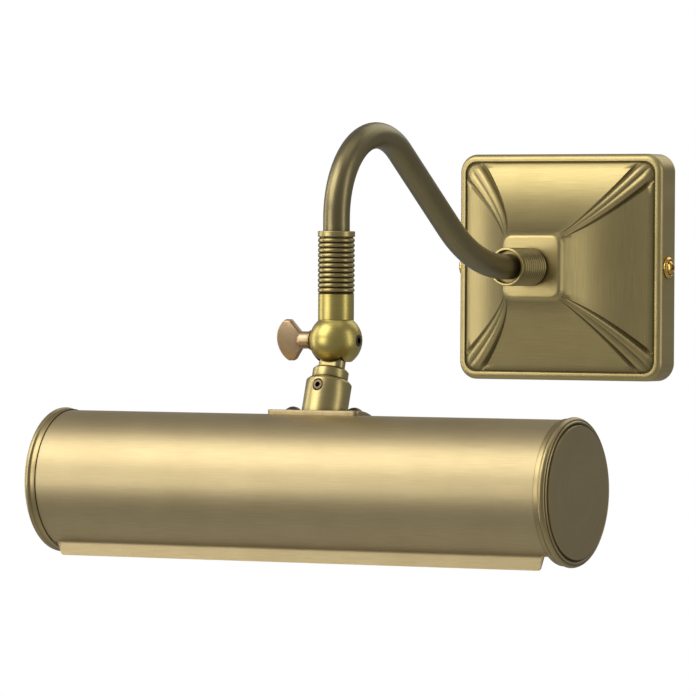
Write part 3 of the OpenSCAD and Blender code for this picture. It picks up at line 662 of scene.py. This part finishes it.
def ribs(radius, low, count, crest):
    """Rounded ribs going up, with painted shade in their grooves; a small crest power makes broad ribs."""
    points = []
    for i in range(count):
        for k in range(12):
            s = (1 - math.cos(math.pi * k / 12)) / 2
            bulge = math.sin(math.pi * s) ** crest
            points.append((radius - RIB_DEPTH * (1 - bulge), low + (i + s) * RIB_PITCH, (1 - bulge) ** 0.7))
    return points + [(radius - RIB_DEPTH, low + count * RIB_PITCH, 1)]


def wall_collar():
    """The ribbed collar with its open mouth."""
    r, high = 8.8, COLLAR[1] - COLLAR[0]
    outline = [(5, 0), (r - 0.7, 0)] + ribs(r, 0.5, 10, 1.3) + \
        filleted([(r - 0.7, high - 2.8), (r, high - 2.7, 0.25), (r, high, 0.45), (r - 1.3, high, 0.35),
                  (r - 1.3, high - 3, 0.3), (TUBE_R + 0.05, high - 3)], closed=False) + \
        [(TUBE_R + 0.05, high / 2), (5, high / 2)]
    put("ribbed_wall_collar", lathe_mesh("wall_collar", outline), ON_WALL @ shift(z=COLLAR[0]), "fixed_arm",
        TURNED_BRASS, ["wall_collar"])


def arm_end_sleeve():
    """The ribbed sleeve at the arm's end, plain at its top."""
    r, high = 8, SLEEVE[1] - SLEEVE[0]
    outline = [(5, 0), (r - 0.3, 0), (r - 0.05, 0.2)] + ribs(r, 0.6, 11, 0.6) + \
        filleted([(r - 0.7, high - 2.7), (r + 0.05, high - 2.4, 0.25), (r + 0.05, high, 0.4),
                  (TUBE_R + 0.35, high, 0.2), (TUBE_R + 0.05, high - 0.5)], closed=False) + \
        [(TUBE_R + 0.05, high - 14), (5, high - 14)]
    put("ribbed_arm_sleeve", lathe_mesh("arm_sleeve", outline), AT_KNUCKLE @ shift(z=SLEEVE[0]), "fixed_arm",
        TURNED_BRASS, ["arm_end_sleeve"])


# ---- arm ----

ARM_RISE = 35            # degrees
ARM_BEND = 36.5          # radius over the top
KNEE_BEND = 95           # radius of the gentle bend beside the wall
TUBE_WALL = 1.0
TUBE_IN_SLEEVE = 14
TUBE_SIDES = 56


def arm_path():
    """Depth from the wall, height above the knuckle's own zero, heading and travel along the arm."""
    rise, bend = math.radians(ARM_RISE), ARM_BEND
    top_u, top_v = REACH - bend, CREST - TUBE_R - bend
    knee = top_u - bend * math.sin(rise) - (top_v + bend * math.cos(rise)) / math.tan(rise)
    knee_bend = min(KNEE_BEND, (knee - COLLAR[1]) / math.tan(rise / 2))
    first = knee - knee_bend * math.tan(rise / 2)
    start = (COLLAR[0] + COLLAR[1]) / 2
    path = [(start + (first - start) * k / 12, 0, 0) for k in range(12)]
    path += [(first + knee_bend * math.sin(rise * k / 24), knee_bend * (1 - math.cos(rise * k / 24)),
              rise * k / 24) for k in range(25)]
    u0, v0 = path[-1][:2]
    u1, v1 = top_u - bend * math.sin(rise), top_v + bend * math.cos(rise)
    path += [(u0 + (u1 - u0) * k / 12, v0 + (v1 - v0) * k / 12, rise) for k in range(1, 12)]
    for k in range(49):
        a = rise - (math.pi / 2 + rise) * k / 48
        path.append((top_u - bend * math.sin(a), top_v + bend * math.cos(a), a))
    low = KNUCKLE_Z + SLEEVE[1] - TUBE_IN_SLEEVE
    path += [(REACH, top_v + (low - top_v) * k / 6, -math.pi / 2) for k in range(1, 7)]
    return path


def arm_tube():
    """The bent tube as one hollow sweep."""
    path = arm_path()
    rings, grain = [], []
    for radius in (TUBE_R, TUBE_R - TUBE_WALL):
        rows, marks, travelled, last = [], [], 0, path[0]
        for u, v, a in path:
            travelled += math.dist(last[:2], (u, v))
            last = (u, v)
            row, mark = [], []
            for k in range(TUBE_SIDES):
                t = 2 * math.pi * k / TUBE_SIDES
                q = radius * math.cos(t)
                row.append((radius * math.sin(t), -(u - q * math.sin(a)), v + q * math.cos(a)))
                mark.append((travelled, 0, q * 1.3))
            rows.append(row)
            marks.append(mark)
        rings += rows if radius == TUBE_R else rows[::-1]
        grain += marks if radius == TUBE_R else marks[::-1]
    put("swan_neck", loft_mesh("swan_neck", rings, grain, loop=True), Matrix(), "fixed_arm", ARM_BRASS,
        ["arm_tube"])


# ---- knuckle ----

TILT_RANGE = [-4, 62]    # degrees of tilt that the ball's slot leaves free
SLOT_HALF = 3.6          # half the slot's width across the tongue's round sides


def knuckle_housing():
    """The turned barrel and ball, slotted for the tongue."""
    start = math.degrees(math.asin(-BALL_FLAT / BALL_R))
    end = math.degrees(math.acos(BARREL_R / BALL_R))
    outline = [(0, -BALL_FLAT), (2.5, -BALL_FLAT), (4.5, -BALL_FLAT), (6.5, -BALL_FLAT)] + \
        arc(0, 0, BALL_R, start + 0.8, end, 34) + \
        filleted([(BARREL_R - 0.12, 8.7), (BARREL_R, 9, 0.15), (BARREL_R, SLEEVE[0], 0.25), (4.95, SLEEVE[0]),
                  (4.95, SLEEVE[0] + 12), (0, SLEEVE[0] + 12)], closed=False)
    housing = put("knuckle_ball", lathe_mesh("knuckle_ball", outline), AT_KNUCKLE, "fixed_arm", BALL_BRASS,
                  ["knuckle_housing"])
    front, back, gap = math.radians(TILT_RANGE[0]), math.radians(TILT_RANGE[1]), SLOT_HALF
    lean = AT_KNUCKLE.inverted() @ AT_TONGUE @ FACE_RIGHT
    sector = [(-gap * math.cos(front), -gap * math.sin(front)),
              (25 * math.sin(front) - gap * math.cos(front), -25 * math.cos(front) - gap * math.sin(front))]
    sector += [(25 * math.sin(a), -25 * math.cos(a)) for a in (front, math.radians(29), back)]
    sector += [(25 * math.sin(back) + gap * math.cos(back), -25 * math.cos(back) + gap * math.sin(back)),
               (gap * math.cos(back), gap * math.sin(back))]
    screw_way = [(0, 0), (2.05, 0), (2.05, 10.9), (2.4, 11), (5.75, 11), (5.75, 30), (0, 30)]
    tools = [(prism_mesh("slot", sector, 12.8), lean),
             (lathe_mesh("eye_room", [(0, -6.4), (7.5, -6.4), (7.5, 6.4), (0, 6.4)]), lean),
             (lathe_mesh("cable_way", [(0, 0), (3.2, 0), (3.2, 60), (0, 60)], 48), Matrix()),
             (lathe_mesh("clamp_way", screw_way, 64), FACE_LEFT),
             (lathe_mesh("lock_way", [(0, 0), (2.6, 0), (2.6, 30), (0, 30)], 48), FACE_RIGHT)]
    cut(housing, tools)


def knuckle_screws():
    """The locking grub screw in the ball's right side, and the grub screw in the stem socket."""
    lock = filleted([(0, 3.15), (2, 3.15, 0.3), (2, 6.4), (2.5, 6.4), (2.5, BALL_R - 0.1, 0.35),
                     (0, BALL_R - 0.1)], closed=False)
    screw = put("ball_lock_screw", lathe_mesh("lock_screw", lock, 48), AT_KNUCKLE @ FACE_RIGHT, "fixed_arm",
                BRONZE, ["knuckle_lock_screw"])
    cut(screw, [(prism_mesh("hex", hexagon(1.45), 4), shift(z=BALL_R))])
    grub = filleted([(0, 5.1), (1.2, 5.1, 0.2), (1.2, 6.4), (2.3, 6.4), (2.3, SOCKET_R - 0.1, 0.35),
                     (0, SOCKET_R - 0.1)], closed=False)
    screw = put("stem_grub_screw", lathe_mesh("grub_screw", grub, 48),
                AT_SHADE @ shift(z=GRUB_Z) @ FACE_FRONT, "shade", BRONZE, ["socket_grub_screw"])
    cut(screw, [(prism_mesh("hex", hexagon(1.3), 4), shift(z=SOCKET_R))])


def wing_screw():
    """The wing with its hub and shank, and the washer under it."""
    washer = filleted([(2.05, 11.15), (4.4, 11.15, 0.2), (4.4, 12.15, 0.25), (2.05, 12.15)])
    put("clamp_ring", lathe_mesh("clamp_ring", washer, 64), AT_KNUCKLE @ FACE_LEFT, "clamp_washer", ROSE_DARK,
        ["clamp_washer"])
    waist = filleted([(-20.8, -9, 0.6), (-16.5, -3.35, 0.8), (-16.5, 3.35, 0.8), (-20.8, 9, 0.6)],
                     closed=False)
    outline = arc(-17.5, 0, 11, 125, 235, 40) + [(-20.8, -9)] + waist[1:-1] + [(-20.8, 9)]
    lean = AT_KNUCKLE @ Matrix.Rotation(math.radians(14), 4, "X")
    wing = put("wing", prism_mesh("wing", outline, 3), lean @ FACE_FRONT, "wing_screw", ROSE_BRASS,
               ["wing_screw"])
    bevel(wing, 0.55, 40, 3)
    hub = filleted([(0, 3.15), (2, 3.15, 0.3), (2, 12.15), (3.75, 12.15, 0.2), (3.75, 16.6, 0.3),
                    (3.2, 17.6, 0.3), (0, 17.6)], closed=False)
    put("wing_hub", lathe_mesh("wing_hub", hub, 64), lean @ FACE_LEFT, "wing_screw", ROSE_BRASS,
        ["wing_screw"])


def tilt_tongue():
    """The tongue: a round eye, an oval bar, a shoulder and the tenon that turns in the socket."""
    eye = filleted([(0, -6.1), (7, -6.1, 0.5), (7, 6.1, 0.5), (0, 6.1)], closed=False)
    put("tongue_eye", lathe_mesh("tongue_eye", eye), AT_TONGUE @ FACE_RIGHT, "tilt_stem", TURNED_BRASS,
        ["tilt_tongue"])
    oval = arc(2.8, 0, 3.3, -90, 90, 16) + arc(-2.8, 0, 3.3, 90, 270, 16)
    rings = [[(x, y, z) for x, y in oval] for z in (-13.4, -12, -8, -4)]
    put("tongue_bar", loft_mesh("tongue_bar", rings, rings), AT_TONGUE, "tilt_stem", TURNED_BRASS,
        ["tilt_tongue"])
    turned = filleted([(0, -27.3), (5.95, -27.3, 0.3), (5.95, SHOULDER[0]), (7.8, SHOULDER[0], 0.3),
                       (7.8, SHOULDER[1] - 1, 0.25), (6.8, SHOULDER[1], 0.3), (0, SHOULDER[1])], closed=False)
    put("stem_shoulder", lathe_mesh("stem_shoulder", turned), AT_TONGUE, "tilt_stem", TURNED_BRASS,
        ["tilt_tongue"])


# ---- socket and saddle ----

def stem_socket():
    """The socket, shaped to the saddle below and bored for the tenon above."""
    rows = [(SOCKET_R, None)] + [(SOCKET_R, z) for z in (34, 37, 40, SOCKET_TOP - 1.35)]
    rows += [(SOCKET_R - 0.1, SOCKET_TOP - 1.12), (SOCKET_R - 1.1, SOCKET_TOP - 0.1),
             (SOCKET_R - 1.3, SOCKET_TOP), (6.25, SOCKET_TOP), (6, SOCKET_TOP - 0.25), (6, 37), (5, 37),
             (5, None)]
    rings, grain = [], []
    for r, z in rows:
        ring = []
        for k in range(SEGMENTS):
            a = 2 * math.pi * k / SEGMENTS
            y = r * math.sin(a)
            ring.append((r * math.cos(a), y, math.sqrt(SADDLE_R ** 2 - y * y) - 0.05 if z is None else z))
        rings.append(ring)
        grain.append([(p[0], p[1], p[2] + r) for p in ring])
    socket = put("stem_socket_body", loft_mesh("stem_socket_body", rings, grain, loop=True), AT_SHADE,
                 "shade", TURNED_BRASS, ["stem_socket"])
    hole = [(0, 5), (2.45, 5), (2.45, SOCKET_R - 0.35), (2.9, SOCKET_R + 0.1), (2.9, 20), (0, 20)]
    cut(socket, [(lathe_mesh("grub_way", hole, 48), shift(z=GRUB_Z) @ FACE_FRONT)])


def rounded_rectangle(a, b, corner, along=14, around=8):
    """Outline of a rounded rectangle, evenly divided along its sides."""
    points = []
    for q, (sx, sy) in enumerate(((1, 1), (-1, 1), (-1, -1), (1, -1))):
        points += arc(sx * (a - corner), sy * (b - corner), corner, 90 * q, 90 * q + 90, around)
        nx, ny = ((-1, 1), (-1, -1), (1, -1), (1, 1))[q]
        start = points[-1]
        end = ((nx * (a - corner), sy * b), (sx * a, ny * (b - corner)))[q % 2]
        points += [(start[0] + (end[0] - start[0]) * k / along, start[1] + (end[1] - start[1]) * k / along)
                   for k in range(1, along)]
    return points


def saddle_plate():
    """The saddle strip, bent round the shade, with rounded corners and eased edges."""
    half_x, half_s = 22.25, math.radians(41.5 / 2) * SADDLE_R
    rows = [(0.02, SADDLE_R - 2)]
    rows += [(t, SADDLE_R - 2) for t in (0.3, 0.6, 0.85, 1)] + [(1, SADDLE_R - 1), (1, SADDLE_R - 0.45)]
    rows += [(0.992, SADDLE_R - 0.13), (0.978, SADDLE_R)] + [(t, SADDLE_R) for t in (0.85, 0.6, 0.3, 0.02)]
    rings, grain = [], []
    for t, r in rows:
        inset = (1 - t) * half_s
        outline = rounded_rectangle(max(half_x - inset, 0.2), max(half_s - inset, 0.2), max(2.2 * t, 0.1))
        rings.append([(x, r * math.sin(s / SADDLE_R), r * math.cos(s / SADDLE_R)) for x, s in outline])
        grain.append([(x, 0, s) for x, s in outline])
    put("saddle", loft_mesh("saddle", rings, grain), AT_SHADE, "shade", SHADE_BRASS,
        ["saddle_plate"])


def saddle_screws():
    """Two dark domed screws with cross recesses."""
    for side in (-1, 1):
        head = domed_head(3.9, 0.3, 2.3, [(0, -8), (1.75, -8), (1.75, -0.4), (3.9, -0.4)])
        screw = put("saddle_screw_" + ("left" if side < 0 else "right"), lathe_mesh("saddle_screw", head, 64),
                    AT_SHADE @ shift(side * 15, 0, SADDLE_R), "shade", BRONZE,
                    ["saddle_screws"])
        turn = Matrix.Rotation(0.9 * side + 0.3, 4, "Z")
        cut(screw, [(bar, turn @ shift(z=2.6)) for bar in cross_recess(1.9, 1.2)])


# ---- shade ----

def sheet_section():
    """The rolled sheet's middle line with its two folded lips: points, directions and travel."""
    r = SHADE_R - SHEET / 2

    def on_sheet(degrees):
        """The middle line at an angle from the point opposite the stem."""
        a = math.radians(degrees)
        return r * math.sin(a), -r * math.cos(a)

    def lip_tip(edge, heading):
        """The free end of the lip that starts at an edge of the slot."""
        x, y = on_sheet(edge)
        a = math.radians(heading)
        return x + LIP * math.sin(a), y - LIP * math.cos(a)

    steps = 120
    angles = [SLOT[0] - (360 - SLOT[1] + SLOT[0]) * k / steps for k in range(steps + 1)]
    ring = [on_sheet(a) for a in angles]
    front = filleted([lip_tip(SLOT[0], SLOT[0] + LIP_TURN), (*ring[0], 1.0), ring[1]], closed=False, step=8)
    back = filleted([ring[-2], (*ring[-1], 1.0), lip_tip(SLOT[1], SLOT[1] - LIP_TURN)], closed=False, step=8)
    line = front[:-1] + ring[1:-1] + back[1:]
    travel = [0]
    for p, q in zip(line, line[1:]):
        travel.append(travel[-1] + math.dist(p, q))
    return line, travel


def sample(line, travel, s):
    """The point and unit normal at travel s along a polyline."""
    k = 0
    while k < len(line) - 2 and travel[k + 1] < s:
        k += 1
    p, q = Vector(line[k]), Vector(line[k + 1])
    t = (s - travel[k]) / (travel[k + 1] - travel[k])
    before = Vector(line[max(k - 1, 0)])
    after = Vector(line[min(k + 2, len(line) - 1)])
    heading = ((q - before).normalized() * (1 - t) + (after - p).normalized() * t).normalized()
    return p.lerp(q, t), Vector((-heading.y, heading.x))


def shade_shell():
    """The rolled sheet in one sweep: its lips grow out of the slot's edges with slanted, rounded ends."""
    line, travel = sheet_section()
    total = travel[-1]
    half, lip_half = SHEET_LEN / 2, LIP_LEN / 2
    ends = filleted([(0, 0.05), (LIP_SLANT, LIP, 1.8), (6, LIP)], closed=False, step=10)
    steps = [(half, 0.05), (lip_half + 0.6, 0.05)] + [(lip_half - u, h) for u, h in ends[:-1]]
    stations = steps + [(x, LIP) for x in [lip_half * (1 - k / 10) for k in range(1, 10)] + [0]]
    stations += [(-x, h) for x, h in stations[-2::-1]]
    rings, grain = [], []
    for x, h in stations:
        low = LIP - h
        places = [low + (LIP + 1.2 - low) * k / 12 for k in range(12)]
        places += [LIP + 1.2 + (total - 2 * LIP - 2.4) * k / 150 for k in range(151)]
        places += [total - s for s in places[11::-1]]
        outer, inner, marks = [], [], []
        for s in places:
            p, n = sample(line, travel, s)
            outer.append((x, *(p + n * SHEET / 2)))
            inner.append((x, *(p - n * SHEET / 2)))
            marks.append((x, 0, s))
        rings.append(outer + inner[::-1])
        grain.append(marks + [(a, b, c + 300) for a, b, c in marks[::-1]])
    put("rolled_shade", loft_mesh("rolled_shade", rings, grain, sharp=45), AT_SHADE, "shade", SHADE_BRASS,
        ["shade_shell"])


def end_caps():
    """Spun caps: a raised face, a bead in a groove, a bold outer bead and a thin skirt."""
    # a third value on a point is painted shade: in the grooves, in the cove under the bold bead, and at the
    # skirt's edge against the sheet
    face_edge = [(27.0, 0), (27.75, 0.02), (28.1, 0.14), (28.28, 0.42)]
    groove = [(28.36, 0.85, 0.8), (28.62, 1.12, 1), (28.86, 1.08, 0.9)]
    small_bead = [(29.08, 0.9), (29.32, 0.7), (29.6, 0.63), (29.88, 0.74), (30.1, 0.98)]
    second_groove = [(30.28, 1.3, 1), (30.45, 1.32, 0.6), (30.7, 1.24)]
    bold_bead = [(31.0, 1.4), (31.28, 1.72), (31.5, 2.15), (31.62, 2.6), (31.65, 3.0), (31.56, 3.35),
                 (31.36, 3.62), (31.16, 3.85, 0.3), (31.04, 4.15, 0.2)]
    skirt = [(31.0, 4.6), (31.0, 6.2), (30.92, 6.38, 0.8), (30.78, 6.4, 1), (30.56, 6.4)]
    inside = [(30.55, 2.1), (27.6, 2.0), (26.9, 1.15)]
    rim = face_edge + groove + small_bead + second_groove + bold_bead + skirt + inside
    discs = [4, 9, 14, 19, 23.5]
    profile = [(0, 0)] + [(r, 0) for r in discs] + rim + [(r, 1.15) for r in reversed(discs)] + [(0, 1.15)]
    outline = [(r, SHADE_LEN / 2 - d, *dark) for r, d, *dark in profile]
    for side, facing in (("right", FACE_RIGHT), ("left", FACE_LEFT)):
        put("spun_cap_" + side, lathe_mesh("spun_cap", outline, 160), AT_SHADE @ facing, "shade", CAP_BRASS,
            ["end_cap_" + side])


# ---- lamps ----

HOLDER_LEN = 30
GLASS_R = 12.5
GLASS_LEN = 63           # beyond the holder's mouth
GLASS_WALL = 0.8


def lamps():
    """Moulded lampholders, screw caps and clear glass tubes."""
    mouth, back = HOLDER_BACK - HOLDER_LEN, HOLDER_BACK
    lamp_axis = AT_SHADE @ shift(z=LAMP_Z)
    for side, facing in (("right", FACE_RIGHT), ("left", FACE_LEFT)):
        place = lamp_axis @ facing
        holder = filleted([(0, mouth + 24.5), (7.05, mouth + 24.5), (7.05, mouth + 0.6, 0.3),
                           (7.8, mouth, 0.3), (13.5, mouth, 0.9), (13.5, mouth + 14, 0.5),
                           (12, mouth + 16, 0.5), (12, back - 2, 0.6), (10, back, 0.6), (5, back),
                           (5, back + 6.4, 0.4), (0, back + 6.4)], closed=False)
        entry = rounded_rectangle(4, 2.4, 1.0, 4, 5)
        box = [[(mouth + 22 + x * f, y * f, z) for x, y in entry]
               for z, f in ((9.5, 1), (16.4, 1), (16.75, 0.97), (16.9, 0.9))]
        put("holder_body_" + side, lathe_mesh("holder_body", holder, 72), place, "shade", PLASTIC,
            ["lampholder_" + side])
        flip = Matrix() if side == "right" else Matrix.Rotation(math.pi, 4, "Z")
        put("holder_entry_" + side, loft_mesh("holder_entry", box, box), lamp_axis @ flip, "shade", PLASTIC,
            ["lampholder_" + side])
        cap = [(0, mouth), (6.2, mouth), (6.4, mouth + 0.3)]
        for k in range(50):        # five turns of thread, in ten steps each
            cap.append((6.45 + 0.28 * math.cos(2 * math.pi * k / 10), mouth + 1 + k * 0.28))
        cap += [(6.2, mouth + 15.4), (3, mouth + 20.6), (2.6, mouth + 21.6), (0, mouth + 22)]
        put("lamp_cap_shell_" + side, lathe_mesh("lamp_cap_shell", cap, 64), place, "shade", ALUMINIUM,
            ["lamp_cap_" + side])
        r, tip = GLASS_R, mouth - GLASS_LEN
        outer = [(6.7, mouth), (6.7, mouth - 3), (8.2, mouth - 4.6), (10.6, mouth - 6.6), (12.1, mouth - 8.2),
                 (r, mouth - 10)] + [(r, mouth - 10 - 5 * k) for k in range(1, 8)] + \
            arc(0, tip + r, r, 0, -90, 20)[:-1] + [(0, tip)]
        shrink = (r - GLASS_WALL) / r
        inner = [(a - GLASS_WALL, b) if b > tip + r else (a * shrink, tip + r + (b - tip - r) * shrink)
                 for a, b in outer]
        glass = outer[::-1] + inner
        put("glass_tube_" + side, lathe_mesh("glass_tube", glass, 72), place, "shade", GLASS,
            ["lamp_glass_" + side])


plate_screws()
wall_collar()
arm_end_sleeve()
arm_tube()
knuckle_housing()
knuckle_screws()
wing_screw()
tilt_tongue()
stem_socket()
saddle_plate()
saddle_screws()
shade_shell()
end_caps()
lamps()


# ---- CAD nodes that keep their own shape ----

CAD_LOOKS = {
    "wall_bracket": ZINC, "cable_grommet": RUBBER, "terminal_block": PLASTIC, "terminal_screws": ZINC,
    "earth_screw": GREEN, "collar_nipple": ZINC, "collar_nut": ZINC, "collar_washer": ZINC,
    "arm_cable": SHEATH, "stem_wires": SLEEVING, "saddle_nuts": ZINC, "shade_nipple": ZINC,
    "shade_nipple_nut": ZINC, "lamp_carrier": ZINC, "holder_nuts": ZINC, "lamp_wires": SLEEVING,
}
for name, material in CAD_LOOKS.items():
    mesh = frame["nodes"][name].data
    mesh.materials.clear()
    mesh.materials.append(material)


# ---- stage, light and camera ----

# in metres
FLOOR_R = 1.4
FLOOR_PLACE = (0, -0.12, -1.25)
MIDDLE = Vector((0, -0.12, -0.03))      # what the lights face
CAMERA_AIM = TILT_AXIS + Vector((0, 11.0, -3.4)) * MM
CAMERA_DISTANCE = 2.523


def stage():
    """A pale round floor well below the light."""
    bpy.ops.mesh.primitive_circle_add(vertices=96, radius=FLOOR_R, fill_type="NGON", location=FLOOR_PLACE)
    floor = bpy.context.object
    floor.name = "floor"
    material, tree, bsdf = shader("pale_floor")
    place = node(tree, "ShaderNodeTexCoord").outputs["Object"]
    tone = mix(tree, noise(tree, place, 4, 3.0), (0.66, 0.66, 0.65, 1), (0.70, 0.70, 0.69, 1))
    tree.links.new(tone, bsdf.inputs["Base Color"])
    bsdf.inputs["Roughness"].default_value = 0.8
    floor.data.materials.append(material)


def direction(azimuth, elevation):
    """The way from the object to a light or camera: azimuth from the front to the right, in degrees."""
    a, e = math.radians(azimuth), math.radians(elevation)
    return Vector((math.sin(a) * math.cos(e), -math.cos(a) * math.cos(e), math.sin(e)))


def softbox(name, azimuth, elevation, distance, size, power):
    """A rectangular area light that faces the middle of the object."""
    back = direction(azimuth, elevation)
    light = bpy.data.lights.new(name, "AREA")
    light.shape = "RECTANGLE"
    light.size, light.size_y = size
    light.energy = power
    lamp = bpy.data.objects.new(name, light)
    bpy.context.scene.collection.objects.link(lamp)
    lamp.location = MIDDLE + back * distance
    lamp.rotation_mode = "QUATERNION"
    lamp.rotation_quaternion = back.to_track_quat("Z", "Y")


def world():
    """A white backdrop that lights the object as a dim grey room."""
    made = bpy.data.worlds.new("studio")
    bpy.context.scene.world = made
    made.use_nodes = True
    tree = made.node_tree
    room = tree.nodes["Background"]
    room.inputs["Color"].default_value = (0.9, 0.92, 1.0, 1)
    room.inputs["Strength"].default_value = 0.33
    white = node(tree, "ShaderNodeBackground", in_Strength=1.0, in_Color=(1, 1, 1, 1))
    seen = node(tree, "ShaderNodeLightPath")
    both = node(tree, "ShaderNodeMixShader")
    tree.links.new(seen.outputs["Is Camera Ray"], both.inputs[0])
    tree.links.new(room.outputs[0], both.inputs[1])
    tree.links.new(white.outputs[0], both.inputs[2])
    tree.links.new(both.outputs[0], tree.nodes["World Output"].inputs["Surface"])


def camera():
    """The photograph's view: from the front and right, almost level, through a long lens."""
    back = direction(28.62, 0.8)
    data = bpy.data.cameras.new("camera")
    data.lens = 301
    data.clip_end = 50
    view = bpy.data.objects.new("camera", data)
    bpy.context.scene.collection.objects.link(view)
    turn = back.to_track_quat("Z", "Y").to_matrix() @ Matrix.Rotation(math.radians(0.33), 3, "Z")
    view.matrix_world = Matrix.Translation(CAMERA_AIM + back * CAMERA_DISTANCE) @ turn.to_4x4()
    bpy.context.scene.camera = view


stage()
world()
softbox("key", -35, 38, 1.6, (1.1, 1.1), 16)
softbox("front", -30, 0, 1.6, (0.9, 0.5), 5)
softbox("left_strip", -80, 5, 1.3, (0.4, 1.4), 5)
softbox("right_strip", 88, 10, 1.4, (0.4, 1.4), 4)
softbox("top", 10, 80, 1.4, (1.2, 0.8), 2)
softbox("rear", 170, 40, 1.6, (1.2, 1.2), 5)
camera()
bpy.context.scene.view_settings.view_transform = "Standard"

for piece in PIECES:
    settle(piece)
